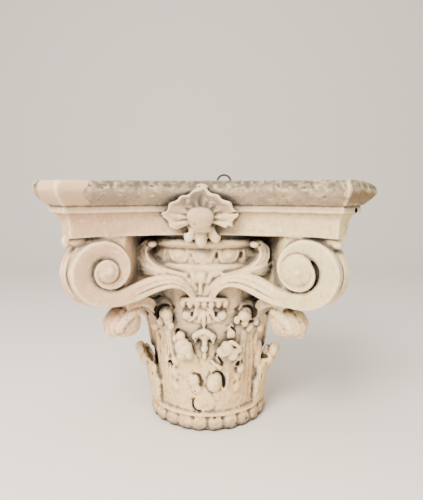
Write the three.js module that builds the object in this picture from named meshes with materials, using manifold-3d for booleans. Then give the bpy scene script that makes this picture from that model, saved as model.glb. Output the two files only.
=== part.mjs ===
// Corinthian capital: a plaster wall cast of the front half of a capital, with a wire hanging eye.
//
// Millimetres, +Z up. The origin is on the underside, on the axis of the column that the whole
// capital would crown. -Y is the front, and the cast is cut flat a little behind the axis.

import * as THREE from "three";
import { mergeVertices } from "three/addons/utils/BufferGeometryUtils.js";
import Module from "manifold-3d";

const wasm = await Module();
wasm.setup();

// ---- driving dimensions ----

const BACK_Y = 12;
const TOTAL_HEIGHT = 389;

// Bell and beaded necking ring
const BELL_FOOT_RADIUS = 90;
const BELL_LIP_RADIUS = 116;
const BELL_TOP = 308;
const RING_HEIGHT = 30;
const RING_RADIUS = 88;
const BEAD_RADIUS = 12.5;
const BEAD_COUNT = 24;

// Egg and dart echinus
const ECHINUS_BOTTOM = 257;
const ECHINUS_RADIUS = 124;
const EGG_COUNT = 18;

// Abacus: four concave faces that meet in cut-off horns
const ABACUS_BOTTOM = 313;
const FACE_SAG_RADIUS = 283;
const FACE_CENTRE_OUT = 129.3;
const HORN_CUT = 361;
const HORN_CUT_PER_PROJECTION = 1.2;
const CAVETTO_HEIGHT = 33.4;
const CAVETTO_PROJECTION = 11.5;
const FILLET_HEIGHT = 8.3;
const FILLET_PROJECTION = 15.5;
const OVOLO_NOSE_Z = 378;
const OVOLO_NOSE_PROJECTION = 34.5;
const TOP_EDGE_PROJECTION = 23;

// Volutes lie on an upright curved sheet that follows the abacus face
const SHEET_RADIUS = 281;
const SHEET_CENTRE_OUT = 410;
const VOLUTE_EYE_S = 138;
const VOLUTE_EYE_Z = 267;
const SPIRAL_RADIUS = 53;
const SPIRAL_SHRINK = 0.149;
const SPIRAL_TURNS = 1.7;
const BAND_DEPTH = 11;

// Hanging eye
const WIRE_RADIUS = 1.6;
const EYE_RADIUS = 11.1;
const EYE_SPRING = 1;
const EYE_X = 27;
const EYE_Y = 5;
const EYE_LEG_DEPTH = 18;
const SOCKET_GAP = 0.3;

// How finely round things are cut into flat faces
const LATHE_SEGMENTS = 24;
const ARC_STEPS = 6;
const CRUMB_SIZE = 0.6;

const DEGREE = Math.PI / 180;

// ---- materials ----

const plaster = new THREE.MeshStandardMaterial({ color: 0xe3d6c2, roughness: 0.85, metalness: 0 });
const wire = new THREE.MeshStandardMaterial({ color: 0x5b5650, roughness: 0.5, metalness: 0.9 });

// ---- from geometry to solids and back ----

function solidFrom(geometry) {
  const bare = new THREE.BufferGeometry();
  bare.setAttribute("position", geometry.getAttribute("position"));
  bare.setIndex(geometry.getIndex());
  const merged = mergeVertices(bare, 1e-4);
  const vertProperties = new Float32Array(merged.getAttribute("position").array);
  const triVerts = new Uint32Array(merged.getIndex().array);
  return new wasm.Manifold(new wasm.Mesh({ numProp: 3, vertProperties, triVerts }));
}

function geometryFrom(solid) {
  const mesh = solid.getMesh();
  const geometry = new THREE.BufferGeometry();
  geometry.setAttribute("position", new THREE.BufferAttribute(mesh.vertProperties, 3));
  geometry.setIndex(new THREE.BufferAttribute(mesh.triVerts, 1));
  geometry.computeVertexNormals();
  return geometry;
}

function joinAll(solids) {
  return solids.reduce((joined, solid) => joined.add(solid));
}

// A closed skin over rings of points, with a fan over the first ring and one over the last.
function loft(rings) {
  const count = rings[0].length;
  const points = rings.flat();
  const faces = [];
  for (let row = 0; row < rings.length - 1; row += 1) {
    for (let i = 0; i < count; i += 1) {
      const next = (i + 1) % count;
      const a = row * count + i;
      const b = row * count + next;
      const c = a + count;
      const d = b + count;
      faces.push(a, b, d, a, d, c);
    }
  }
  for (const [row, flip] of [[0, true], [rings.length - 1, false]]) {
    const centre = new THREE.Vector3();
    rings[row].forEach((point) => centre.addScaledVector(point, 1 / count));
    points.push(centre);
    const hub = points.length - 1;
    for (let i = 0; i < count; i += 1) {
      const a = row * count + i;
      const b = row * count + ((i + 1) % count);
      faces.push(...(flip ? [b, a, hub] : [a, b, hub]));
    }
  }
  const geometry = new THREE.BufferGeometry().setFromPoints(points);
  geometry.setIndex(faces);
  if (signedVolume(points, faces) < 0) {
    faces.reverse();
    geometry.setIndex(faces);
  }
  return solidFrom(geometry);
}

function signedVolume(points, faces) {
  let volume = 0;
  for (let i = 0; i < faces.length; i += 3) {
    const [a, b, c] = [points[faces[i]], points[faces[i + 1]], points[faces[i + 2]]];
    volume += a.dot(new THREE.Vector3().crossVectors(b, c)) / 6;
  }
  return volume;
}

function turned(profile, segments) {
  const outline = profile.map(([radius, z]) => new THREE.Vector2(radius, z));
  const geometry = new THREE.LatheGeometry(outline, segments);
  geometry.rotateX(Math.PI / 2);
  return solidFrom(geometry);
}

// An ellipsoid with its half sizes along x, y, z, turned, then moved to its place.
function ellipsoid(halfSizes, place, turn = [0, 0, 0], facets = 6) {
  const geometry = new THREE.SphereGeometry(1, facets, Math.round(facets * 0.7));
  geometry.scale(...halfSizes);
  geometry.rotateX(turn[0]).rotateY(turn[1]).rotateZ(turn[2]);
  geometry.translate(...place);
  return solidFrom(geometry);
}

// Azimuth 0 is the front (-Y), and it grows towards +X.
function onBell(azimuth, radius, z) {
  return new THREE.Vector3(radius * Math.sin(azimuth), -radius * Math.cos(azimuth), z);
}

// A place on the curved sheet of one face: s along it, z up, out in front of it. Quarter 0 is the
// front face, 1 the right one and -1 the left one.
function onSheet(quarter, s, z, out) {
  const angle = s / SHEET_RADIUS;
  const reach = SHEET_RADIUS - out;
  const point = new THREE.Vector3(reach * Math.sin(angle), reach * Math.cos(angle) - SHEET_CENTRE_OUT, z);
  return point.applyAxisAngle(new THREE.Vector3(0, 0, 1), (quarter * Math.PI) / 2);
}

// ---- bell, necking ring and echinus ----

function bellRadius(z) {
  const rise = THREE.MathUtils.clamp((z - RING_HEIGHT) / (BELL_TOP - RING_HEIGHT), 0, 1);
  return BELL_FOOT_RADIUS + (BELL_LIP_RADIUS - BELL_FOOT_RADIUS) * rise ** 1.6;
}

function makeBell() {
  const profile = [[0, 0], [RING_RADIUS + 2, 0], [BELL_FOOT_RADIUS, RING_HEIGHT]];
  const steps = 6;
  for (let i = 1; i <= steps; i += 1) {
    const z = RING_HEIGHT + ((BELL_TOP - RING_HEIGHT) * i) / steps;
    profile.push([bellRadius(z), z]);
  }
  profile.push([BELL_LIP_RADIUS, ABACUS_BOTTOM + 5], [0, ABACUS_BOTTOM + 5]);
  return turned(profile, LATHE_SEGMENTS);
}

function makeBeads() {
  const beads = [];
  const step = (2 * Math.PI) / BEAD_COUNT;
  for (let i = 0; i < BEAD_COUNT; i += 1) {
    const azimuth = (i + 0.5) * step;
    const place = onBell(azimuth, RING_RADIUS, RING_HEIGHT * 0.42);
    if (place.y < BACK_Y + BEAD_RADIUS) {
      const halfSizes = [BEAD_RADIUS, BEAD_RADIUS * 0.9, RING_HEIGHT * 0.42];
      beads.push(ellipsoid(halfSizes, place.toArray(), [0, 0, azimuth]));
    }
  }
  const lip = [
    [RING_RADIUS - 12, RING_HEIGHT - 8],
    [RING_RADIUS + 6, RING_HEIGHT - 7],
    [RING_RADIUS + 8, RING_HEIGHT - 3],
    [RING_RADIUS + 5, RING_HEIGHT + 1],
    [RING_RADIUS - 12, RING_HEIGHT + 2],
    [RING_RADIUS - 12, RING_HEIGHT - 8],
  ];
  beads.push(turned(lip, LATHE_SEGMENTS));
  return joinAll(beads);
}

function makeEchinus() {
  const bottom = ECHINUS_BOTTOM;
  const radius = ECHINUS_RADIUS;
  const profile = [
    [90, bottom - 4],
    [radius - 6, bottom],
    [radius - 1, bottom + 5],
    [radius - 5, bottom + 10],
    [radius, bottom + 22],
    [radius + 3, bottom + 34],
    [radius + 7, bottom + 38],
    [radius + 8, bottom + 43],
    [radius + 3, bottom + 48],
    [90, bottom + 52],
    [90, bottom - 4],
  ];
  const parts = [turned(profile, LATHE_SEGMENTS)];
  const step = (2 * Math.PI) / EGG_COUNT;
  for (let i = 0; i < EGG_COUNT; i += 1) {
    const azimuth = i * step;
    const place = onBell(azimuth, radius - 1, bottom + 22);
    if (place.y < BACK_Y + 15) {
      parts.push(ellipsoid([15, 7, 13], place.toArray(), [0, 0, azimuth]));
    }
  }
  return joinAll(parts);
}

// ---- abacus ----

// How far a level of the moulding stands out from the foot of the abacus.
function abacusLevels() {
  const levels = [];
  for (let i = 0; i <= 4; i += 1) {
    const angle = (i / 4) * 90 * DEGREE;
    levels.push({
      z: ABACUS_BOTTOM + CAVETTO_HEIGHT * Math.sin(angle),
      projection: CAVETTO_PROJECTION * (1 - Math.cos(angle)),
    });
  }
  const filletFoot = ABACUS_BOTTOM + CAVETTO_HEIGHT;
  const filletTop = filletFoot + FILLET_HEIGHT;
  levels.push({ z: filletFoot + 0.6, projection: FILLET_PROJECTION });
  levels.push({ z: filletTop, projection: FILLET_PROJECTION });
  const ovoloFoot = FILLET_PROJECTION + 1.5;
  for (let i = 0; i <= 3; i += 1) {
    const rise = i / 3;
    levels.push({
      z: filletTop + 1 + (OVOLO_NOSE_Z - filletTop - 1) * rise,
      projection: ovoloFoot + (OVOLO_NOSE_PROJECTION - ovoloFoot) * (1 - (1 - rise) ** 1.6),
    });
  }
  for (let i = 1; i <= 3; i += 1) {
    const angle = (i / 3) * 90 * DEGREE;
    const roundOver = OVOLO_NOSE_PROJECTION - TOP_EDGE_PROJECTION;
    levels.push({
      z: OVOLO_NOSE_Z + (TOTAL_HEIGHT - OVOLO_NOSE_Z) * Math.sin(angle),
      projection: TOP_EDGE_PROJECTION + roundOver * Math.cos(angle),
    });
  }
  return levels;
}

// The plan of one level: four arcs, each ending where the 45 degree cut of the horn takes over.
function abacusOutline({ z, projection }) {
  const centreOut = FACE_CENTRE_OUT + projection + FACE_SAG_RADIUS;
  const cut = HORN_CUT + HORN_CUT_PER_PROJECTION * projection;
  // The arc meets the line x + |y| = cut where x solves x = cut - centreOut + sqrt(R^2 - x^2).
  const shift = cut - centreOut;
  const cornerX = (shift + Math.sqrt(2 * FACE_SAG_RADIUS ** 2 - shift ** 2)) / 2;
  const outline = [];
  for (let quarter = 0; quarter < 4; quarter += 1) {
    for (let i = 0; i <= ARC_STEPS; i += 1) {
      const x = cornerX * ((2 * i) / ARC_STEPS - 1);
      const y = Math.sqrt(FACE_SAG_RADIUS ** 2 - x ** 2) - centreOut;
      const point = new THREE.Vector3(x, y, z);
      outline.push(point.applyAxisAngle(new THREE.Vector3(0, 0, 1), (quarter * Math.PI) / 2));
    }
  }
  return outline;
}

function makeAbacus() {
  return loft(abacusLevels().map(abacusOutline));
}

// ---- acanthus leaves ----

// A leaf follows a spine drawn in the upright plane at its azimuth, as [radius, z] points from foot
// to crest. Its width comes and goes in lobes, its face is raised in a midrib, and its rolled tip is
// a rounded mass that hangs in front of the crest.
function makeLeaf({ azimuth, spine, halfWidth, tipWidth, lobes, thickness }) {
  const curve = new THREE.CatmullRomCurve3(spine.map(([radius, z]) => new THREE.Vector3(radius, z, 0)));
  const steps = 6;
  const across = 4;
  const rings = [];
  for (let i = 0; i <= steps; i += 1) {
    const t = i / steps;
    const centre = curve.getPointAt(t);
    const tangent = curve.getTangentAt(t);
    const outward = new THREE.Vector2(tangent.y, -tangent.x);
    const taper = THREE.MathUtils.lerp(halfWidth, tipWidth, THREE.MathUtils.smoothstep(t, 0.35, 1));
    const lobe = 1 - 0.16 * (1 - Math.abs(Math.sin(Math.PI * lobes * t)));
    const rounding = Math.sqrt(1 - 0.75 * THREE.MathUtils.smoothstep(t, 0.75, 1));
    const width = taper * lobe * rounding;
    const ring = [];
    for (const side of [1, -1]) {
      for (let j = 0; j <= across; j += 1) {
        const u = side * ((2 * j) / across - 1);
        const rib = 1 - 0.45 * u * u + 0.25 * Math.cos(3 * Math.PI * u) * (1 - Math.abs(u));
        const lift = thickness * 0.6 * rounding * (side > 0 ? rib : -1);
        const radius = centre.x + outward.x * lift;
        const z = centre.y + outward.y * lift;
        ring.push(onBell(azimuth + (u * width) / centre.x, radius, z));
      }
    }
    rings.push(ring);
  }
  return loft(rings);
}

const LOWER_LEAF = {
  azimuths: [-18, 18],
  spine: [[92, 24], [96, 70], [100, 108], [107, 132], [116, 147]],
  halfWidth: 31,
  tipWidth: 17,
  lobes: 4,
  thickness: 12,
  tip: { radius: 119, z: 137, half: [14, 10, 14] },
};

const SIDE_LEAF = {
  azimuths: [-68, 68],
  spine: [[95, 24], [99, 60], [104, 92], [111, 112], [116, 124]],
  halfWidth: 25,
  tipWidth: 16,
  lobes: 3,
  thickness: 14,
  tip: { radius: 116, z: 116, half: [15, 10, 11] },
};

const UPPER_LEAF = {
  azimuths: [-92, -34, 34, 92],
  spine: [[92, 70], [97, 115], [103, 152], [108, 178], [115, 193]],
  halfWidth: 24,
  tipWidth: 14,
  lobes: 4,
  thickness: 12,
  tip: { radius: 118, z: 184, half: [12, 9, 13] },
};

const CORNER_LEAF = {
  azimuths: [-47, 47],
  spine: [[96, 140], [108, 174], [130, 196], [156, 206], [180, 202]],
  halfWidth: 25,
  tipWidth: 23,
  lobes: 3,
  thickness: 17,
  tip: { radius: 171, z: 184, half: [26, 22, 23] },
};

function makeLeaves() {
  const leaves = [];
  for (const { azimuths, tip, ...leaf } of [LOWER_LEAF, SIDE_LEAF, UPPER_LEAF, CORNER_LEAF]) {
    for (const degrees of azimuths) {
      const azimuth = degrees * DEGREE;
      leaves.push(makeLeaf({ azimuth, ...leaf }));
      const place = onBell(azimuth, tip.radius, tip.z);
      leaves.push(ellipsoid(tip.half, place.toArray(), [0, 0, azimuth]));
    }
  }
  return joinAll(leaves);
}

// ---- stems and volutes ----

// The middle line of one scroll, as it lies on its sheet: out of the calyx, over, down, and round
// the eye in a spiral that shrinks evenly with its turn.
function scrollLine() {
  const line = [];
  const stem = [[12, 214, 6], [20, 232, 7], [34, 244, 8.5], [54, 247, 9.5], [76, 241, 10.5], [100, 232, 11.5]];
  const curve = new THREE.CatmullRomCurve3(stem.map(([s, z, width]) => new THREE.Vector3(s, z, width)));
  const stemSteps = 5;
  for (let i = 0; i <= stemSteps; i += 1) {
    const point = curve.getPoint(i / stemSteps);
    line.push({ s: point.x, z: point.y, halfWidth: point.z, out: 2 });
  }
  const startAngle = -100 * DEGREE;
  const spiralSteps = 19;
  for (let i = 0; i <= spiralSteps; i += 1) {
    const angle = startAngle + (i / spiralSteps) * SPIRAL_TURNS * 2 * Math.PI;
    const outer = SPIRAL_RADIUS * Math.exp(-SPIRAL_SHRINK * Math.max(angle, 0));
    const inner = SPIRAL_RADIUS * Math.exp(-SPIRAL_SHRINK * (angle + 2 * Math.PI));
    const middle = (outer + inner) / 2;
    line.push({
      s: VOLUTE_EYE_S + middle * Math.cos(angle),
      z: VOLUTE_EYE_Z + middle * Math.sin(angle),
      halfWidth: ((outer - inner) / 2) * 0.97,
      out: 4 + 6 * Math.max(0, i / spiralSteps - 0.5),
    });
  }
  return line;
}

function makeScroll(quarter, hand) {
  const line = scrollLine();
  const rings = line.map((place, i) => {
    const before = line[Math.max(i - 1, 0)];
    const after = line[Math.min(i + 1, line.length - 1)];
    const length = Math.hypot(after.s - before.s, after.z - before.z);
    const normalS = -(after.z - before.z) / length;
    const normalZ = (after.s - before.s) / length;
    const section = [[-1, -BAND_DEPTH], [-1, -3], [-0.5, 1], [0.5, 1], [1, -3], [1, -BAND_DEPTH]];
    return section.map(([across, depth]) => {
      const s = place.s + normalS * across * place.halfWidth;
      const z = place.z + normalZ * across * place.halfWidth;
      return onSheet(quarter, hand * s, z, place.out + depth);
    });
  });
  return loft(rings);
}

// The ground that carries a volute: a thick disc on the sheet, behind the coils.
function makeScrollGround(quarter, hand) {
  const discRadius = 38;
  const segments = 10;
  const rings = [-34, -3].map((out) => {
    const ring = [];
    for (let i = 0; i < segments; i += 1) {
      const angle = (i / segments) * 2 * Math.PI;
      const s = VOLUTE_EYE_S + 10 + discRadius * Math.cos(angle);
      ring.push(onSheet(quarter, hand * s, VOLUTE_EYE_Z + discRadius * Math.sin(angle), out));
    }
    return ring;
  });
  const eye = onSheet(quarter, hand * VOLUTE_EYE_S, VOLUTE_EYE_Z, 5);
  const turn = (quarter * Math.PI) / 2 - (hand * VOLUTE_EYE_S) / SHEET_RADIUS;
  return loft(rings).add(ellipsoid([12, 10, 12], eye.toArray(), [0, 0, turn]));
}

// The solid corner between the bell and the back of the two volutes that meet there.
function makeCornerCore(hand) {
  const azimuth = hand * 45 * DEGREE;
  const side = new THREE.Vector3(Math.cos(azimuth), Math.sin(azimuth), 0);
  const rings = [[80, 10, 226, 320], [148, 12, 224, 320], [182, 27, 220, 318], [206, 22, 220, 318], [246, 8, 242, 316]];
  return loft(rings.map(([radius, halfWidth, low, high]) => {
    const centre = onBell(azimuth, radius, 0);
    return [[-1, low], [1, low], [1, high], [-1, high]].map(([across, z]) => {
      const point = centre.clone().addScaledVector(side, across * halfWidth);
      point.z = z;
      return point;
    });
  }));
}

function makeScrolls() {
  const parts = [];
  for (const [quarter, hand] of [[0, -1], [0, 1], [-1, 1], [1, -1]]) {
    parts.push(makeScroll(quarter, hand));
    parts.push(makeScrollGround(quarter, hand));
  }
  parts.push(makeCornerCore(-1), makeCornerCore(1));
  return joinAll(parts);
}

// ---- centre ornaments ----

// The flower that covers the middle of each abacus face: a hood over a bud, two side lobes and
// three hanging petals.
function makeFlower(quarter) {
  const lobes = [
    { half: [30, 12, 15], s: -4, z: 364, out: 30, tilt: 0 },
    { half: [24, 12, 14], s: -34, z: 352, out: 25, tilt: -32 },
    { half: [24, 12, 14], s: 26, z: 352, out: 25, tilt: 32 },
    { half: [18, 11, 12], s: -45, z: 335, out: 18, tilt: 10 },
    { half: [17, 11, 12], s: 34, z: 335, out: 18, tilt: -10 },
    { half: [9, 8, 16], s: -22, z: 317, out: 11, tilt: 20 },
    { half: [9, 8, 16], s: 14, z: 317, out: 11, tilt: -20 },
    { half: [10, 9, 16], s: -5, z: 313, out: 11, tilt: 0 },
    { half: [17, 12, 16], s: -5, z: 340, out: 31, tilt: 0 },
    { half: [42, 20, 28], s: -5, z: 343, out: 6, tilt: 0 },
  ];
  // The half flowers at the cut sides are left as their larger lobes.
  const kept = quarter === 0 ? lobes : lobes.filter(({ half }) => half[0] > 17);
  return joinAll(kept.map(({ half, s, z, out, tilt }) => {
    const place = onSheet(quarter, s, z, out);
    return ellipsoid(half, place.toArray(), [0, tilt * DEGREE, (quarter * Math.PI) / 2]);
  }));
}

// Below the stems: the small calyx they rise from, a pair of curls and a hooded bud that hangs.
function makePendant() {
  const parts = [];
  const calyxLobes = 5;
  for (let i = 0; i < calyxLobes; i += 1) {
    const azimuth = (i - (calyxLobes - 1) / 2) * 8.5 * DEGREE;
    parts.push(ellipsoid([9, 9, 7], onBell(azimuth, 104, 210).toArray(), [0, 0, azimuth]));
  }
  parts.push(ellipsoid([24, 8, 3], onBell(0, 106, 218).toArray()));
  for (const hand of [-1, 1]) {
    const azimuth = hand * 15 * DEGREE;
    parts.push(ellipsoid([7, 8, 7], onBell(azimuth, 104, 190).toArray(), [0, 0, azimuth]));
  }
  for (const azimuth of [-5, 0, 5]) {
    const place = onBell(azimuth * DEGREE, 100, 190);
    parts.push(ellipsoid([3.4, 8, 17], place.toArray(), [0, 0, azimuth * DEGREE]));
  }
  parts.push(ellipsoid([14, 11, 11], onBell(0, 96, 158).toArray()));
  parts.push(ellipsoid([8, 9, 20], onBell(0, 96, 134).toArray()));
  parts.push(ellipsoid([8, 9, 15], onBell(-8 * DEGREE, 91, 82).toArray(), [0, 0.2, 0]));
  parts.push(ellipsoid([12, 10, 17], onBell(8 * DEGREE, 91, 80).toArray(), [0, -0.2, 0]));
  parts.push(ellipsoid([15, 8, 19], onBell(0, 91, 44).toArray()));
  return joinAll(parts);
}

// The half leaf that springs from a stem and hugs the end of the echinus.
function makeHuggingLeaf(hand) {
  const spine = [[14, 255, 124], [27, 260, 134], [36, 268, 140], [40, 284, 142], [36, 299, 141]];
  const curve = new THREE.CatmullRomCurve3(
    spine.map(([azimuth, z, radius]) => onBell(hand * azimuth * DEGREE, radius, z)),
  );
  const steps = 6;
  const rings = [];
  for (let i = 0; i <= steps; i += 1) {
    const t = i / steps;
    const centre = curve.getPoint(t);
    const tangent = curve.getTangent(t);
    const outward = new THREE.Vector3(centre.x, centre.y, 0).normalize();
    const across = new THREE.Vector3().crossVectors(outward, tangent).normalize();
    const halfWidth = 4 + 6 * Math.sin(Math.PI * t ** 1.4);
    const section = [[-1, -18], [-1, 0], [0, 3], [1, 0], [1, -18]];
    rings.push(section.map(([side, lift]) => (
      centre.clone().addScaledVector(across, side * halfWidth).addScaledVector(outward, lift)
    )));
  }
  return loft(rings);
}

// ---- hanging eye ----

function wirePath() {
  const path = new THREE.CurvePath();
  const foot = TOTAL_HEIGHT - EYE_LEG_DEPTH;
  const spring = TOTAL_HEIGHT + EYE_SPRING;
  const left = new THREE.Vector3(EYE_X - EYE_RADIUS, EYE_Y, spring);
  const right = new THREE.Vector3(EYE_X + EYE_RADIUS, EYE_Y, spring);
  path.add(new THREE.LineCurve3(new THREE.Vector3(left.x, EYE_Y, foot), left));
  const points = [];
  const steps = 12;
  for (let i = 0; i <= steps; i += 1) {
    const angle = Math.PI * (1 - i / steps);
    points.push(new THREE.Vector3(
      EYE_X + EYE_RADIUS * Math.cos(angle), EYE_Y, spring + EYE_RADIUS * Math.sin(angle),
    ));
  }
  for (let i = 0; i < steps; i += 1) {
    path.add(new THREE.LineCurve3(points[i], points[i + 1]));
  }
  path.add(new THREE.LineCurve3(right, new THREE.Vector3(right.x, EYE_Y, foot)));
  return path;
}

// Sections square to the path, so the legs' ends are flat.
function makeWire(radius, extraDepth) {
  const path = wirePath();
  const centres = path.curves.map((curve) => curve.getPoint(0));
  centres.push(path.curves.at(-1).getPoint(1));
  centres[0].z -= extraDepth;
  centres[centres.length - 1].z -= extraDepth;
  const sides = 6;
  const rings = centres.map((centre, i) => {
    const before = centres[Math.max(i - 1, 0)];
    const after = centres[Math.min(i + 1, centres.length - 1)];
    const tangent = after.clone().sub(before).normalize();
    const depth = new THREE.Vector3(0, 1, 0);
    const across = new THREE.Vector3().crossVectors(tangent, depth);
    const ring = [];
    for (let k = 0; k < sides; k += 1) {
      const angle = (k / sides) * 2 * Math.PI;
      ring.push(centre.clone()
        .addScaledVector(across, radius * Math.cos(angle))
        .addScaledVector(depth, radius * Math.sin(angle)));
    }
    return ring;
  });
  return loft(rings);
}

// ---- assembly ----

function box(low, high) {
  const size = high.map((value, i) => value - low[i]);
  const geometry = new THREE.BoxGeometry(...size);
  geometry.translate(...high.map((value, i) => (value + low[i]) / 2));
  return solidFrom(geometry);
}

// The cast is solid through, so only its outer skin is kept, without the crumbs of air that
// overlapping ornaments close round.
function outerSkin(solid) {
  return solid.decompose().reduce((largest, shell) => (
    shell.volume() > largest.volume() ? shell : largest
  ));
}

function makeCapital() {
  const whole = joinAll([
    makeBell(),
    makeBeads(),
    makeEchinus(),
    makeAbacus(),
    makeLeaves(),
    makeScrolls(),
    makeFlower(0),
    makeFlower(-1),
    makeFlower(1),
    makePendant(),
    makeHuggingLeaf(-1),
    makeHuggingLeaf(1),
  ]);
  const reach = 600;
  const behind = box([-reach, BACK_Y, -reach], [reach, reach, reach]);
  const below = box([-reach, -reach, -reach], [reach, reach, 0]);
  const cast = outerSkin(whole.subtract(behind).subtract(below).simplify(CRUMB_SIZE));
  return cast.subtract(makeWire(WIRE_RADIUS + SOCKET_GAP, SOCKET_GAP));
}

function named(name, solid, material) {
  const mesh = new THREE.Mesh(geometryFrom(solid), material);
  mesh.name = name;
  return mesh;
}

const group = new THREE.Group();
group.name = "corinthian_capital";
group.add(named("capital", makeCapital(), plaster));
group.add(named("hanging_loop", makeWire(WIRE_RADIUS, 0), wire));

export default group;
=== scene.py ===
import functools
import math

import bpy
import numpy as np
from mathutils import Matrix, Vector


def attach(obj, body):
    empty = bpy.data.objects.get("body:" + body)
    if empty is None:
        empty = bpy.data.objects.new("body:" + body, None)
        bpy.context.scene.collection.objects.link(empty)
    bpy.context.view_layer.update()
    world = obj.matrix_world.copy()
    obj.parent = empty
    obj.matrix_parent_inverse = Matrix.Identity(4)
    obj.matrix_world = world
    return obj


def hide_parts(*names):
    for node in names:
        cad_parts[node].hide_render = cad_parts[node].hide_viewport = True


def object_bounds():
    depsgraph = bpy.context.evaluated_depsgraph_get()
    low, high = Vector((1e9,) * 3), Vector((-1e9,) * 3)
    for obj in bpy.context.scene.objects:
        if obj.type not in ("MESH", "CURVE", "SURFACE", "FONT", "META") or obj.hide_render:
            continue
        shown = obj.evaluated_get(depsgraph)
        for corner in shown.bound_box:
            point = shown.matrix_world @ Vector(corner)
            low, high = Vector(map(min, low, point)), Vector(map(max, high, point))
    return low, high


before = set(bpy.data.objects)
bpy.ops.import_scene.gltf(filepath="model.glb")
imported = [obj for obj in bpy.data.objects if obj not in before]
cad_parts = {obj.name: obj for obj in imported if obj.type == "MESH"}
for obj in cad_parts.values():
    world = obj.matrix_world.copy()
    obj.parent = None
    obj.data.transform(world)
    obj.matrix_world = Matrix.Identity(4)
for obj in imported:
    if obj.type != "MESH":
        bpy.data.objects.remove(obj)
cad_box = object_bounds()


# ---- Bell: the solid body of the cast, a cup of plaster that stands on the necking ring and swells
# ---- slowly to its lip. Everything else is modelled onto it or cut into it, as closed shells in mm.
BACK_Y = 12.0
BELL_FOOT_RADIUS = 90.0
BELL_LIP_RADIUS = 116.0
BELL_TOP = 308.0
INTO_ECHINUS = 10.0
RING_HEIGHT = 29.0

added = []      # shells that make up the cast
carved = []     # shells that are cut out of it
drilled = []    # rows of x, y, z and reach along the deepest cuts, where dirt has lodged and shade is painted


def loft(rings):
    """A closed shell through rings of points, with a fan over each end."""
    rings = np.asarray(rings, float)
    rows, count = rings.shape[:2]
    index = np.arange(rows * count).reshape(rows, count)
    beside = np.roll(index, -1, axis=1)
    quads = np.stack([index[:-1], beside[:-1], beside[1:], index[1:]], -1).reshape(-1, 4)
    hubs = [rows * count, rows * count + 1]
    fans = [np.stack([beside[0], index[0], np.full(count, hubs[0])], -1)]
    fans.append(np.stack([index[-1], beside[-1], np.full(count, hubs[1])], -1))
    points = np.vstack([rings.reshape(-1, 3), rings[0].mean(0), rings[-1].mean(0)])
    return points, quads, np.vstack(fans)


def on_bell(azimuth, radius, z):
    """Points round the column's axis. Azimuth is in degrees, 0 at the front, growing towards +X."""
    turn = np.radians(azimuth)
    x, y, z = np.broadcast_arrays(radius * np.sin(turn), -radius * np.cos(turn), z)
    return np.stack([x, y, z], -1)


def bell_radius(z):
    rise = np.clip((z - RING_HEIGHT) / (BELL_TOP - RING_HEIGHT), 0, 1)
    return BELL_FOOT_RADIUS + (BELL_LIP_RADIUS - BELL_FOOT_RADIUS) * rise ** 1.6


ROUND = np.linspace(-180, 180, 120, endpoint=False)


def turned(profile):
    """A closed shell turned round the axis from a profile of (radius, z) points."""
    return loft([on_bell(ROUND, radius, z) for radius, z in profile])


bell_levels = np.linspace(0, BELL_TOP + INTO_ECHINUS, 40)
added.append(turned([(bell_radius(z), z) for z in bell_levels]))


# ---- Necking ring: a row of large beads under a thin rim, one with the cast and worn unevenly.
# ---- Two lines are scored along the rim, and the foot is flat, so that the cast stands on it.
BEAD_STEP = 15.0
BEAD_START = -6.0
BEAD_HALF = (12.9, 12.8, 8.2)    # along the ring, up, out
BEAD_RADIUS = 91.5
BEAD_Z = 12.8
rng = np.random.default_rng(5)


def frame_at(point, out, tilt=0):
    """Right, up and out directions at a point, turned by tilt degrees about out."""
    out = np.asarray(out, float) / np.linalg.norm(out)
    up = np.array([0, 0, 1]) - out[2] * out
    up /= np.linalg.norm(up)
    right = np.cross(up, out)
    turn = math.radians(tilt)
    right, up = (
        right * math.cos(turn) + up * math.sin(turn),
        up * math.cos(turn) - right * math.sin(turn),
    )
    return np.asarray(point, float), right, up, out


def egg_shell(place, half, narrow=0, plump=2):
    """An egg at a frame: half sizes along right, up and out. narrow thins its upper end, and a
    plump above 2 fills out its corners."""
    point, right, up, out = place
    sides, rows = (20, 14) if max(half) > 4 else (10, 8)
    turn = np.radians(np.linspace(0, 360, sides, endpoint=False))
    cos = np.sign(np.cos(turn)) * np.abs(np.cos(turn)) ** (2 / plump)
    sin = np.sign(np.sin(turn)) * np.abs(np.sin(turn)) ** (2 / plump)
    rings = []
    for rise in np.radians(np.linspace(-90, 90, rows)):
        level = math.sin(rise)
        girth = max((1 - abs(level) ** plump) ** (1 / plump), 0.02) * (1 - narrow * max(level, -0.3))
        rings.append(
            point
            + np.outer(cos * girth * half[0], right)
            + np.outer(sin * girth * half[2], out)
            + up * level * half[1]
        )
    return loft(rings)


def pellet(azimuth, radius, z, half, tilt=0, lean=0, narrow=0, plump=2, into=added):
    """An egg pressed on the bell. tilt turns its top towards -X, and lean tips its face up."""
    out = on_bell(azimuth, 1, math.tan(math.radians(lean)))
    into.append(egg_shell(frame_at(on_bell(azimuth, radius, z), out, tilt), half, narrow, plump))
    if into is carved:
        drilled.append([*on_bell(azimuth, radius, z), (half[0] + half[1]) / 2])
        drilled.append([*on_bell(azimuth, radius - half[2] * 0.7, z), (half[0] + half[1]) / 2])


pit = functools.partial(pellet, into=carved)

for bead in range(-7, 9):
    azimuth = BEAD_START + bead * BEAD_STEP + rng.uniform(-0.8, 0.8)
    wear = 1 - 0.09 * rng.random(3)
    pellet(azimuth, BEAD_RADIUS, BEAD_Z, np.array(BEAD_HALF) * wear, tilt=rng.uniform(-6, 6), plump=2.7)
added.append(turned([(80, 0), (92, 0), (94.5, 2.5), (94, 12), (93, 22), (80, 24)]))
added.append(turned([(80, 22), (94, 23.5), (96.8, 25), (97.2, 27), (95.5, 28.5), (92, 30), (80, 31)]))
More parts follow.
